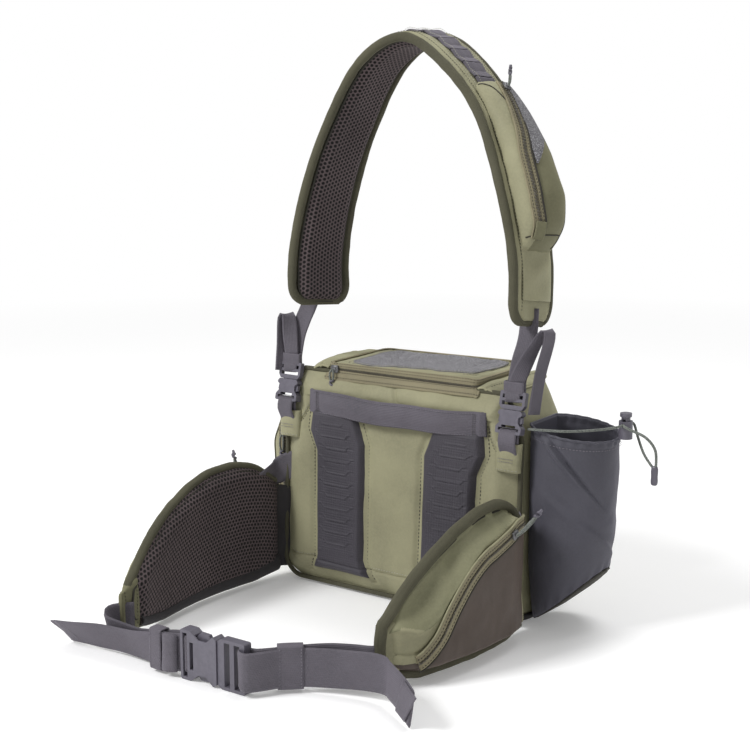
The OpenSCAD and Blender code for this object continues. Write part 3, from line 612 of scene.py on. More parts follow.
def build_bag():
    heights = np.concatenate([np.linspace(4, 20, 6), np.linspace(26, TOP - 8, 56),
                              np.linspace(TOP - 6, TOP, 4)])
    rows = np.array([bag_ring(z) for z in heights])
    centre = rows.mean(1, keepdims=True)
    out = unit((rows - centre) * [1, 1, 0])
    z = rows[..., 2]
    up = (z - 4) / (TOP - 4)
    sag = ripple(rows, 46, 1, 3) * 2.4 + ripple(rows * [1, 1, 0.35], 21, 2, 2) * 1.2
    fold = peak(z, 34 + 8 * np.sin(rows[..., 0] / 31), 6) * 1.4 - peak(z, 4, 5) * 3
    front = ease((rows[..., 1] - 10) / 30)
    belly = front * 4 * np.sin(np.pi * np.clip(up, 0, 1)) ** 0.7
    seam = -1.3 * peak(np.abs(rows[..., 0]), 118, 1.6) * front
    rows = rows + out * ((sag * np.sin(np.pi * np.clip(up, 0.02, 0.98)) + fold + belly
                          + seam)[..., None])
    sheet("bag_body", rows, OLIVE, "pack", ["bag_shell"], wrap=True, thick=2.2)
    for x in (-118, 118):
        column = rows[:, np.argmin(np.abs(rows[20, :, 0] - x) + 200 * (rows[20, :, 1] < 0))]
        stitch(column[2:-2] + [np.sign(x) * 2.6, 0, 0], (0, 1, 0), "pack")
    ring = bag_ring(4)
    rows = np.array([ring * [size, size, 0] + [0, 0, z] for size, z in (
        (1.002, 9.0), (1.002, 6.5), (1.002, 3.5), (0.9, 0.4), (0.5, 0.3), (0.02, 0.3))])
    rows[..., 1] += 0.4
    rows[..., 2] += np.abs(ripple(rows, 30, 3)) * 0.5
    sheet("base_cover", rows, COATING, "pack", ["base_panel"], wrap=True, thick=1.2)
    rim = bag_ring(TOP - 1.5)
    tube("rim_binding", rim, 1.0, OLIVE_SHADE, "pack", closed=True, sides=12)


def panel_half(z, inset=0.0):
    """Half width of the back panel at height z, with its rounded lower corners."""
    r = 24.0
    low = 4 + inset
    lift = np.clip(low + r - np.asarray(z, float), 0, r)
    corner = r - np.sqrt(np.maximum(r * r - lift * lift, 0))
    return side_x(z) - inset - corner


PAD_TOP, PAD_BOTTOM = 195.0, 20.0


def pad_edges(z):
    """Inner and outer edge of a back pad at height z."""
    t = (np.asarray(z, float) - PAD_BOTTOM) / (PAD_TOP - PAD_BOTTOM)
    inner = lookup(t, [(0, 26), (0.12, 35), (0.85, 36), (1, 46)])
    outer = lookup(t, [(0, 107), (0.1, 101), (0.78, 104), (0.9, 113), (1, 111)])
    return inner, outer


def seam_z(x):
    """Height of the seam that dips under each strap anchor."""
    return lookup(np.abs(x), [(0, 213), (104, 213), (113, 206), (122, 190), (133, 181), (150, 174)])


def panel_surface(x, z):
    """Depth of the back panel's face at (x, z)."""
    half = panel_half(z, 2)
    edge = np.minimum(np.minimum(half - np.abs(x), z - 6), TOP - 1 - z)
    swell = 11 * ease((edge + 1) / 26) ** 0.8 - 2.4
    inner, outer = pad_edges(z)
    ax = np.abs(x)
    inside = (z > 16) & (z < 214)
    swell = swell - 2.6 * peak(ax, outer + 2.5, 4.5) * inside - 2.4 * peak(ax, inner - 2.5,
                                                                           4.0) * inside
    swell = swell + 1.9 * peak(ax, (outer + half) / 2 + 2, 12) * ease((190 - z) / 50) * inside
    swell = swell - 1.9 * peak(z, 31 + 0.02 * ax, 1.5) * (ax < 142)
    swell = swell - 2.0 * peak(z, seam_z(x), 2.0) * ease((ax - 100) / 10)
    top = ease((z - 212) / 10)
    pucker = np.sin(x / 7.3 + 1.5 * np.sin(x / 31)) * np.sin(np.pi * np.clip((z - 212) / 32, 0, 1))
    swell = swell + top * (1.0 * pucker + 2.2 * np.sin(np.pi * np.clip((z - 214) / 30, 0, 1)))
    swell = swell - top * 2.4 * peak(x + 4 + (z - 230) * 0.4, 0, 2.8) * ease((245 - z) / 20)
    swell = swell - 2.2 * peak(ax, 139, 12) * ease((z - 192) / 8)
    low = ease((30 - z) / 8)
    swell = swell + low * 0.9 * np.sin(x / 9.0 + 0.9 * np.sin(x / 23))
    return panel_y(z) + 1.5 - swell


def build_back_panel():
    zs = np.concatenate([np.linspace(4.6, 28, 22), np.linspace(29, 35, 13),
                         np.linspace(36.5, 172, 86),
                         np.linspace(173.5, TOP - 1, 62)])
    us = np.sign(np.linspace(-1, 1, 241)) * np.abs(np.linspace(-1, 1, 241)) ** 0.92
    rows = []
    for z in zs:
        x = us * float(panel_half(z, 2))
        rows.append(np.stack([x, panel_surface(x, z), np.full_like(x, z)], 1))
    rows = np.array(rows)
    rows[..., 1] -= ripple(rows * [1, 0, 0.5], 34, 4, 3) * 1.1 + ripple(rows, 9, 5, 2) * 0.18
    sheet("back_panel_cover", rows, OLIVE, "pack", ["back_panel", "back_foam"], thick=-3.0,
          flip=True)

    def on_face(x, z, off=0.0):
        x, z = np.broadcast_arrays(np.asarray(x, float), np.asarray(z, float))
        return np.stack([x, panel_surface(x, z) - off, z], -1)

    face = (0, -1, 0)
    for side in (-1, 1):
        z = np.linspace(22, 206, 120)
        inner, outer = pad_edges(z)
        stitch(on_face(side * (inner - 2.6), z), face, "pack", pitch=4.0, radius=0.55)
        stitch(on_face(side * (outer + 2.8), z), face, "pack", pitch=4.0, radius=0.55)
        x = np.linspace(103, 146, 40)
        stitch(on_face(side * x, seam_z(x) - 3.2), face, "pack")
        stitch(on_face(side * x, seam_z(x) + 2.6), face, "pack", PALE_THREAD)
    x = np.linspace(-138, 138, 160)
    stitch(on_face(x, np.full_like(x, 35.2)), face, "pack", PALE_THREAD)
    outline = [[float(panel_half(z)), z] for z in np.linspace(26, TOP - 2, 60)]
    corner = [[HALF - 24 + 24 * math.sin(a), 28 - 24 * math.cos(a)]
              for a in np.linspace(0, math.pi / 2, 12)]
    bottom = [[x, 4.0] for x in np.linspace(0, HALF - 26, 22)]
    right = np.array(bottom + corner + outline[1:])
    left = right[::-1] * [-1, 1]
    loop = np.concatenate([right, left])
    z = loop[:, 1]
    path = np.stack([loop[:, 0] * 0.994, panel_y(z) + 1.2 + 2.4 * ease((z - 185) / 12), z + 1.2], 1)
    path = resample(path, 3.0)
    tube("panel_piping", path, 2.6, BINDING, "pack", ["edge_piping"], up=(0, 1, 0), sides=10)
    stitch(path + [0, -1.9, 0], face, "pack")


def build_pads():
    """Moulded pads with raised plates: the lower lip of each plate turns up at its ends."""
    for side, name in ((-1, "left"), (1, "right")):
        zs = np.linspace(PAD_BOTTOM, PAD_TOP + 8, 211)
        us = np.linspace(0, 1, 91)
        z = zs[:, None] * np.ones(91)
        inner, outer = pad_edges(zs)
        x = inner[:, None] * (1 - us) + outer[:, None] * us
        edge = np.minimum(np.minimum(x - inner[:, None], outer[:, None] - x), z - PAD_BOTTOM)
        height = 8.2 * ease((edge + 0.6) / 9.0) ** 0.75
        mid = (inner + outer)[:, None] / 2 + 1.5
        across = (x - mid) / 23.0
        inside = ease((1.12 - np.abs(across)) / 0.16) * ease((z - 40) / 8) * ease((192 - z) / 8)
        pitch = 13.2
        cell = np.floor((z - 40) / pitch)
        wide = np.where(cell % 2 == 0, 1.0, 0.8)
        hook = 4.6 * ease((np.abs(across) / wide - 0.62) / 0.3) ** 1.3
        phase = (z - 40 - hook) / pitch
        local = (phase - np.floor(phase)) * pitch
        lip = peak(local, 1.4, 0.95) * (np.abs(across) < wide)
        groove = peak(local, 0.0, 0.7) + peak(local, pitch, 0.7)
        rim = peak(np.abs(across), 1.06, 0.045)
        rib = 0.2 * np.cos(2 * math.pi * x / 3.1) + 0.1 * np.cos(2 * math.pi * z / 3.1)
        height = height + inside * (0.9 * lip - 0.7 * groove * (np.abs(across) < 1.04) + rib
                                    + 0.35) + 0.5 * rim * inside
        y = panel_surface(side * x, np.minimum(z, 200)) - height + 2.2
        tuck = ease((z - PAD_TOP) / 8)
        y = y + tuck * 4
        rows = np.stack([side * x, y, z], -1)
        rows[..., 1] -= ripple(rows, 26, 7 + side, 2) * 0.5
        sheet(f"back_pad_{name}_cover", rows, PAD, "pack", [f"back_pad_{name}"], thick=-4.0,
              flip=side > 0)


def build_handle():
    """Folded webbing sewn at both ends that stands a little off the panel."""
    z = 210.0
    reach = 112.0
    x = np.linspace(-reach, reach, 90)
    lift = 7.5 * np.cos(np.pi * np.clip(x / (reach - 14), -1, 1) / 2) ** 0.7
    lift = np.where(np.abs(x) > reach - 14, 0, lift)
    y = float(panel_y(z)) - 9.5 - lift
    sag = -1.8 * np.cos(np.pi * x / (2 * reach)) + 0.6 * np.sin(x / 14)
    path = np.stack([x, y, z + sag], 1)
    path[np.abs(x) > reach - 5, 1] += 2.5
    rows = ribbon_rows(path, 26.0, 3.0, (0, 0, 1), columns=22)
    rows[..., 1] += 0.48 * np.cos(np.linspace(0, 4 * math.pi, 44))[None]
    rows = rows - np.array([0, 1, 0]) * (ripple(rows, 15, 12, 2) * 0.6)[..., None]
    sheet("grab_handle_web", rows, WEBBING, "pack", ["grab_handle"], wrap=True, ends=True)
    face = (0, -1, 0)
    for end in (-1, 1):
        for gap in (101, 98.6):
            column = np.array([[end * gap, float(np.interp(gap, x[x > 0], y[x > 0])) - 2.0,
                                z + sag[0] + k]
                               for k in np.linspace(-11, 11, 12)])
            stitch(column, face, "pack", pitch=2.2)
    for k in (-11.2, 11.2):
        stitch(path[6:-6] + [0, -1.9, k], face, "pack", WEB_THREAD, pitch=3.0)


def build_front():
    """Pocket and zip on the far side of the pack."""
    low, high = box_mm("front_pocket")
    zs = np.linspace(low[2], high[2], 60)
    us = np.linspace(-1, 1, 111)
    t = (zs - low[2]) / (high[2] - low[2])
    rows = []
    for z, k in zip(zs, t):
        x = us * (high[0] - 1)
        depth = 15 * (1 - np.abs(us) ** 7) * np.sin(np.pi * np.clip(0.03 + 0.94 * k, 0, 1)) ** 0.45
        rows.append(np.stack([x, float(front_y(z)) + 2.4 + depth, np.full_like(x, z)], 1))
    rows = np.array(rows)
    rows[..., 1] += ripple(rows, 30, 15, 3) * 1.6
    sheet("front_pocket_cover", rows, OLIVE, "pack", ["front_pocket"], thick=2.0)
    edge = np.concatenate([rows[:, 0], rows[-1], rows[::-1, -1], rows[0, ::-1]])
    tube("front_pocket_piping", resample(edge, 4.0), 1.7, BINDING, "pack", up=(0, 1, 0))
    path = np.stack([np.linspace(-98, 98, 60), np.full(60, float(front_y(186)) + 5.4),
                     np.full(60, 186.0)], 1)
    sewn_zip("front_zip", path, 15, (0, 0, 1), (0, 1, 0), 5.6, coil_lift=0.8)


CLOTH_FRAMES = 20


def side_pocket_depth(z):
    """How far the side pocket stands out at height z."""
    return lookup(z, [(28, 26), (50, 46), (90, 53), (150, 50), (180, 37), (195, 12)])


def build_side_pocket():
    """Zipped pocket on the -X side, padded and a little slack."""
    low, high = box_mm("side_pocket")
    c, s = squircle(np.linspace(-math.pi / 2, math.pi / 2, 61), 3.2)
    rows = []
    for z in np.linspace(low[2], high[2], 56):
        x = -HALF + 1 - side_pocket_depth(z) * c
        y = (low[1] + high[1]) / 2 + (high[1] - low[1] - 4) / 2 * s
        rows.append(np.stack([x, y, np.full_like(x, z)], 1))
    rows = np.array(rows)
    out = unit((rows - [-HALF + 10, -8, 0]) * [1, 1, 0])
    z = rows[..., 2]
    swell = ripple(rows, 34, 21, 3) * 2.0 - 2.6 * peak(z, 108 + rows[..., 1] * 0.12, 3.4)
    held = np.sin(np.pi * np.clip((z - 28) / 167, 0.0, 1)) ** 0.4
    rows = rows + out * (swell * held)[..., None]
    wall_top, wall_low = ([1 - HALF, 0, 0] + end * [0, 1, 1] for end in (rows[-1], rows[0]))
    lid = [mix(rows[-1], wall_top, k) + [0, 0, 2.5 * math.sin(k * 1.5)] for k in (0.3, 0.7, 1.0)]
    sole = [mix(rows[0], wall_low, k) for k in (1.0, 0.7, 0.3)]
    rows = np.concatenate([sole, rows, lid])
    soft = cloth_rows("side_pocket_cover", rows, cap=5.0, pin=lambda p: p[:, 0] > -HALF - 1.5)
    finish_piece(soft, OLIVE, "pack", ["side_pocket"])
    zip_low, zip_high = box_mm("side_zip")
    x = (zip_low[0] + zip_high[0]) / 2
    path = np.linspace([x, low[1] - 3.2, zip_low[2] + 4], [x, low[1] - 3.2, zip_high[2] - 2], 40)
    sewn_zip("side_zip", path, 17, (1, 0, 0), (0, -1, 0), 6.2)
    for y, name in ((low[1] + 10, "near"), (high[1] - 9, "far")):
        ring = [[-HALF - 0.96 * float(side_pocket_depth(z)), y, z]
                for z in np.linspace(34, 186, 60)]
        tube(f"side_pocket_piping_{name}", relaxed(on_mesh(soft, ring, 0.2)[0], 6), 1.5, BINDING,
             "pack", up=(0, 1, 0))
    top = box_mm("side_zip_slider")[1][2]
    zip_pull("side_zip_pull_piece", (x, low[1] - 4.6, top - 6), (0, -1, 0), (0, 0, -1),
             "side_zip_pull", ["side_zip_slider"], hang=22)


def sewn_zip(node, path, width, across, out, seam, coil_lift=0.9):
    """Straight zip on the pack: tape, coil and a row of stitches seam off both sides."""
    out, across = np.array(out), np.array(across)
    webbing(f"{node}_tape", path, width, 1.4, across, "pack", TAPE, [node])
    merge(f"{node}_coil", coil_parts(path + out * coil_lift, out), COIL, "pack")
    for k in (-seam, seam):
        stitch(path + out * 0.9 + across * k, out, "pack")


def on_mesh(obj, points, lift=0.3):
    """Points moved onto the nearest place of a padded surface, and the surface's normals there."""
    tree = BVHTree.FromPolygons([v.co / MM for v in obj.data.vertices],
                                [p.vertices[:] for p in obj.data.polygons])
    found = [tree.find_nearest(Vector(q))[:2] for q in points]
    normals = np.array([normal for place, normal in found])
    return np.array([place for place, normal in found]) + normals * lift, unit(normals)


def face_centres(obj):
    """Middle of each face in millimetres."""
    centres = np.zeros(len(obj.data.polygons) * 3)
    obj.data.polygons.foreach_get("center", centres)
    return centres.reshape(-1, 3) / MM


def cloth_rows(name, rows, cap, pin, voxel=5.0):
    """A padded piece: the sheet is closed at the back and goes through the cloth simulation."""
    verts, faces, _ = skin(rows)
    rim = rim_of(*rows.shape[:2])
    rim = rim[:1] + rim[:0:-1]
    faces = faces + [(b, a, len(verts)) for a, b in zip(rim, rim[1:] + rim[:1])]
    return puff(name, np.concatenate([verts, verts[rim].mean(0)[None]]), faces, cap, pin, voxel)


def vertex_places(obj):
    places = np.zeros(len(obj.data.vertices) * 3)
    obj.data.vertices.foreach_get("co", places)
    return places.reshape(-1, 3)


def puff(name, verts, faces, cap, pin, voxel):
    """Voxel remesh, cloth with inner pressure, moves capped, one subdivision."""
    obj = mesh_object(name, verts, faces)
    bpy.context.view_layer.objects.active = obj
    even = obj.modifiers.new("even", "REMESH")
    even.mode, even.voxel_size = "VOXEL", voxel * MM
    apply_modifiers(obj)
    rest = vertex_places(obj)
    cloth = obj.modifiers.new("cloth", "CLOTH")
    settings = cloth.settings
    settings.quality = 5
    settings.use_pressure, settings.uniform_pressure_force = True, 4.0
    settings.effector_weights.gravity = 0
    settings.tension_stiffness, settings.bending_stiffness = 22, 0.4
    cloth.collision_settings.use_collision = False
    group = obj.vertex_groups.new(name="held")
    group.add(np.nonzero(pin(rest / MM))[0].tolist(), 1.0, "REPLACE")
    settings.vertex_group_mass = "held"
    cloth.point_cache.frame_start, cloth.point_cache.frame_end = 1, CLOTH_FRAMES
    for frame_number in range(1, CLOTH_FRAMES + 1):
        bpy.context.scene.frame_set(frame_number)
    apply_modifiers(obj)
    step = vertex_places(obj) - rest
    size = np.linalg.norm(step, axis=1, keepdims=True)
    limit = cap * MM
    share = np.where(size > 1e-9, limit * np.tanh(size / limit) / np.maximum(size, 1e-9), 0)
    obj.data.vertices.foreach_set("co", (rest + step * share).ravel())
    bpy.context.scene.frame_set(1)
    obj.vertex_groups.clear()
    relax = obj.modifiers.new("relax", "SMOOTH")
    relax.factor, relax.iterations = 0.5, 3
    fine = obj.modifiers.new("fine", "SUBSURF")
    fine.levels = fine.render_levels = 1
    apply_modifiers(obj)
    planar_uv(obj)
    return obj


def planar_uv(obj):
    """Sheet coordinates for a remeshed piece: each face uses the plane it faces most."""
    me = obj.data
    layer = me.uv_layers.get("UVMap") or me.uv_layers.new(name="UVMap")
    normal = np.zeros(len(me.polygons) * 3)
    me.polygons.foreach_get("normal", normal)
    counts = np.zeros(len(me.polygons), int)
    me.polygons.foreach_get("loop_total", counts)
    index = np.zeros(len(me.loops), int)
    me.loops.foreach_get("vertex_index", index)
    faced = np.repeat(np.abs(normal.reshape(-1, 3)).argmax(1), counts)
    plane = np.array([[1, 2], [0, 2], [0, 1]])[faced]
    layer.data.foreach_set("uv", np.take_along_axis(vertex_places(obj)[index], plane, 1).ravel())
    me.polygons.foreach_set("use_smooth", [True] * len(me.polygons))


def box_part(centre, size, axes, round_edge=0.22):
    """A small rounded block along three axes, as rings of a squared-off section."""
    a, b, c = (np.asarray(v, float) * length / 2 for v, length in zip(axes, size))
    x, y = squircle(full_turn(16), 5.0)
    small, inner = 1 - 2 * round_edge, 1 - round_edge
    return skin(np.array([centre + c * t + a * (s * x)[:, None] + b * (s * y)[:, None]
                          for t, s in ((-1, small), (-inner, 1), (inner, 1), (1, small))]),
                wrap=True, ends=True)


def zip_pull(name, at, out, down, body, replaces=(), hang=18.0, loop_axis=(0, 0, -1)):
    """Slider body, a cord loop and a moulded toggle at the loop's end.

    out faces away from the zip, down runs along the zip, and the cord hangs along loop_axis."""
    at, out, down = np.asarray(at, float), unit(out), unit(down)
    down = unit(down - out * np.dot(down, out))
    side = np.cross(out, down)
    merge(name, [box_part(at + out * 0.6, (8.4, 3.0, 9.5), (side, out, down)),
                 box_part(at + out * 2.3, (3.2, 1.8, 6.0), (side, out, down))],
          SLIDER, body, replaces)
    hangs, cord_r = unit(loop_axis), 1.05
    start = at + out * 3.0 + down * 1.5
    width = unit(np.cross(hangs, out) + 1e-6)
    legs = [line([start + width * s * 0.6,
                  start + out * 1.4 + width * s * 2.2 + hangs * hang * 0.25,
                  start + out * 1.6 + width * s * 2.4 + hangs * hang * 0.6,
                  start + out * 1.2 + width * s * 0.9 + hangs * hang * 0.92], 16) for s in (-1, 1)]
    loop = np.concatenate([legs[0], legs[1][::-1]])
    merge(name + "_cord", [tube_part(loop, cord_r, up=out, braid=0.12)], CORD, body)
    knot_at = start + out * 1.2 + hangs * hang
    knot = [knot_at + width * (2.0 * math.cos(2 * a)) + out * (1.5 * math.sin(2 * a))
            + hangs * (2.6 * math.sin(a)) for a in np.linspace(0, 2 * math.pi, 40)]
    tail = [knot_at + hangs * k + width * 0.6 * math.sin(k) for k in np.linspace(1, 6.5, 8)]
    merge(name + "_toggle", [
        tube_part(knot, cord_r * 1.15, up=(0.3, 0.5, 0.8)),
        tube_part(tail, [1.3, 1.5, 1.6, 1.6, 1.6, 1.6, 1.5, 1.1], up=out, sides=10)], BUCKLE, body)

# ------------------------------------------------------------------ rim and lid

LID_HALF = lid_high[0] + 1
LID_BACK = lid_low[1] - 1
LID_FRONT = lid_high[1] + 1
LID_Z = lid_low[2]
LID_MIDDLE = np.array([0, (LID_BACK + LID_FRONT) / 2])


def lid_outline(inset, back, front, count=120):
    """Plan outline of the lid, anticlockwise, with its own corner radii at back and front."""
    pts = []
    x, y0, y1 = LID_HALF - inset, LID_BACK + inset, LID_FRONT - inset
    for cx, cy, r, start in ((x - back, y0 + back, back, -90), (x - front, y1 - front, front, 0),
                             (front - x, y1 - front, front, 90), (back - x, y0 + back, back, 180)):
        for a in np.radians(start + np.linspace(0, 90, count // 4)):
            pts.append([cx + r * math.cos(a), cy + r * math.sin(a)])
    return np.array(pts)


def rounded_grid(columns, rows, power, middle, half):
    """A grid fitted into a rounded rectangle in plan, and the grid's own -1 to 1 coordinates."""
    gx, gy = np.meshgrid(np.linspace(-1, 1, columns), np.linspace(-1, 1, rows))
    corner = (np.abs(gx) ** power + np.abs(gy) ** power) ** (1 / power)
    k = np.maximum(np.abs(gx), np.abs(gy)) / np.maximum(corner, 1e-6)
    return middle[0] + gx * k * half[0], middle[1] + gy * k * half[1], gx, gy


def build_lid():
    half = LID_HALF - 0.4, (LID_FRONT - LID_BACK) / 2 - 0.2
    x, y, gx, gy = rounded_grid(97, 61, 9.0, LID_MIDDLE, half)
    edge = np.minimum(1 - np.abs(gx), (1 - np.abs(gy)) * half[1] / half[0]) * half[0]
    crown = 2.4 * ease(edge / 10) ** 0.8 - 5.2 * ease((edge - 12) / 40)
    wave = 1.32 * np.sin(x / 34 + 0.7) * ease(edge / 20)
    dip = 2.4 * peak(x, 72, 22) - 2.6 * peak(x, -48, 30) * ease((20 - y) / 50)
    rows = np.stack([x, y, LID_Z + 1.6 + crown + wave + 0.7 * dip * ease(edge / 8)], -1)
    rows[..., 2] += ripple(rows, 20, 31, 3) * 0.9
    rows[..., 2] -= 1.1 * peak(edge, 11, 1.2)
    sheet("lid_cover", rows, OLIVE, "lid", ["lid_top"], thick=2.2)
    stitch(drop_on(rows, lid_outline(13, 10, 10)), (0, 0, 1), "lid")

    low, high = box_mm("lid_knit_patch")
    size = high - low
    x, y, gx, gy = rounded_grid(81, 51, 8, ((low[0] + high[0]) / 2, (low[1] + high[1]) / 2 - 2),
                                (size[0] / 2 + 2, size[1] / 2 + 4))
    patch = drop_on(rows, np.stack([x, y], -1).reshape(-1, 2)).reshape(51, 81, 3)
    patch[..., 2] += 0.6 + 1.6 * ease(np.minimum(1 - np.abs(gx), 1 - np.abs(gy)) / 0.1)
    patch[..., 2] += ripple(patch, 14, 33, 2) * 0.5
    sheet("lid_patch", patch, KNIT, "lid", ["lid_knit_patch"], thick=1.4)
    border = np.concatenate([patch[0], patch[:, -1], patch[-1][::-1], patch[::-1, 0]])
    stitch(resample(border, 3.0) + [0, 0, 0.6], (0, 0, 1), "lid", PALE_THREAD)


def build_main_zip():
    """The zip round the lid: the lid's band, the rim's band and the coil between them."""
    upper = lid_outline(0, 8, 12, 160)
    band = []
    for z, out in ((LID_Z - 2.4, 0.1), (LID_Z - 1.2, 0.7), (LID_Z + 1.0, 0.9), (LID_Z + 3.2, 0.2),
                   (LID_Z + 4.4, -1.6)):
        pts = LID_MIDDLE + (upper - LID_MIDDLE) * (1 + out / 70)
        x = pts[:, 0]
        waves = 0.8 * np.sin(x / 27 + 0.4) + 2.4 * peak(x, 74, 20) - 1.6 * peak(x, -40, 34)
        band.append(np.column_stack([pts, z + waves * ease((z - LID_Z + 2.4) / 4)]))
    sheet("lid_zip_band", np.array(band), TAPE, "lid", ["lid_zip_tape"], wrap=True, thick=1.4)
    seen = np.arange(-10, 150) % len(upper)
    normal = unit(np.column_stack([upper[seen] + [0, 12], np.zeros(len(seen))]))
    for row, rise in ((2, 0), (3, 0.4)):
        stitch(band[row][seen] + [0, 0, rise], normal, "lid")

    low, high = (corner[2] for corner in box_mm("main_zip_tape"))
    band = []
    for z, out in ((high + 0.1, 0.2), (high - 1.2, 0.9), (high - 2.4, 2.0), (low - 3.0, 3.6),
                   (low - 7.0, 4.2), (low - 9.0, 3.0)):
        pts = LID_MIDDLE + (upper - LID_MIDDLE) * (1 + out / 90)
        pts[:, 1] = np.maximum(pts[:, 1], LID_BACK - 0.9 - out * 0.75)
        x = pts[:, 0]
        if z < high - 2:
            near = pts[:, 1] < LID_BACK + 4
            pts[near, 1] = np.minimum(pts[near, 1], panel_surface(x[near], z) - 1.4)
        sag = 1.8 * peak(x, 88, 14) - 1.3 * peak(x, 34, 30) + 0.5 * np.sin(x / 13)
        band.append(np.column_stack([pts, z + sag * ease((high - z) / 3)]))
    band = np.array(band)
    keep = band[2, :, 1] < LID_BACK + 9
    strip = band[:, keep][:, np.argsort(band[2, keep, 0])]
    sheet("rim_zip_band", strip, TAPE, "pack", ["main_zip_tape"], thick=1.2, flip=True)
    inner = lid_outline(0.4, 8, 12, 160)
    rest = [np.column_stack([inner, np.full(len(inner), z)])
            for z in (low - 0.3, (low + high) / 2, high + 0.1)]
    sheet("rim_zip_tape_sides", rest, TAPE, "pack", wrap=True, thick=1.6)
    seen = np.arange(-12, 150) % len(upper)
    track = np.column_stack([upper, np.full(len(upper), (high + LID_Z - 2.6) / 2)])[seen]
    out = unit((track - [*LID_MIDDLE, 0]) * [1, 1, 0])
    merge("main_zip_coil", coil_parts(track + out * 0.6, out, width=2.4, high=0.7), COIL, "pack")
    stitch(strip[4] + [0, -0.9, 0.8], (0, -1, 0), "pack")
    stitch(strip[2] + [0, -0.8, -0.6], (0, -1, 0), "pack")


def build_gussets():
    """Soft shoulders at both sides of the lid, and the pull of the main zip."""
    low, high = box_mm("top_gussets")
    us = np.linspace(0, 1, 33)
    for side, name in ((-1, "left"), (1, "right")):
        rows = []
        for v in np.linspace(0, 1, 61):
            arch = math.sin(math.pi * np.clip(0.06 + 0.88 * v, 0, 1)) ** 0.35
            x = LID_HALF + 0.8 + (high[0] - LID_HALF - 0.8) * min(1, arch) * us
            top = (8.0 * np.sin(np.pi * np.clip(0.16 + us * 0.84, 0, 1)) ** 0.7
                   * math.sin(math.pi * np.clip(0.08 + 0.84 * v, 0, 1)) ** 0.5)
            z = low[2] - 0.8 + top + 1.6 * peak(v, 0.18, 0.14) * (1 - us)
            rows.append(np.stack([side * x, np.full_like(x, mix(low[1], high[1], v)), z], 1))
        rows = np.array(rows)
        rows[..., 2] += ripple(rows, 13, 41 + side, 3) * np.sin(np.pi * us)[None]
        rows[..., 2] -= 1.2 * peak(us, 0.55, 0.05)[None]
        sheet(f"top_gusset_{name}", rows, OLIVE, "pack", ["top_gussets"] if side < 0 else [],
              thick=2.0 * -side, flip=side > 0)
        stitch(rows[3:-3, 21] + [0, 0, 0.4], (0, 0, 1), "pack")
    low, high = box_mm("main_zip_slider")
    zip_pull("main_zip_pull_piece", ((low[0] + high[0]) / 2, LID_BACK - 2.0, LID_Z - 2.6),
             (0, -1, 0), (-1, 0, 0), "main_zip_pull", ["main_zip_slider"], hang=15)


def drop_on(rows, points):
    """Points in plan put on a height field given as rows of points."""
    flat = rows.reshape(-1, 3)
    out = []
    for p in points:
        d = ((flat[:, :2] - p) ** 2).sum(1)
        near = np.argpartition(d, 4)[:4]
        w = 1 / (d[near] + 0.05)
        out.append([p[0], p[1], float((flat[near, 2] * w).sum() / w.sum())])
    return np.array(out)


# ------------------------------------------------------------------ bottle pocket and its cord

POCKET_AT = np.array([187.0, -30.0])    # middle of the pocket in plan
pocket_low, pocket_high = box_mm("bottle_pocket")
POCKET_R = (pocket_high[1] - pocket_low[1]) / 2


def pocket_floor(x):
    """Height of the stretch pocket's slanting floor at x."""
    return mix(5.0, 74.0, np.clip((x - HALF) / (pocket_high[0] - HALF), 0, 1) ** 1.3)


def pocket_point(a, t):
    """Point on the stretch pocket at angle a (radians) and height share t."""
    r = POCKET_R * (0.84 + 0.16 * np.clip(t * 3, 0, 1) ** 0.7)
    x = np.maximum(HALF + 1, POCKET_AT[0] + r * np.cos(a))
    along = np.clip((x - HALF) / (pocket_high[0] - HALF), 0, 1)
    mouth = mix(pocket_high[2], pocket_high[2] - 11, along)
    y = POCKET_AT[1] + r * np.sin(a)
    return np.stack(np.broadcast_arrays(x, y, mix(pocket_floor(x), mouth, t)), -1)


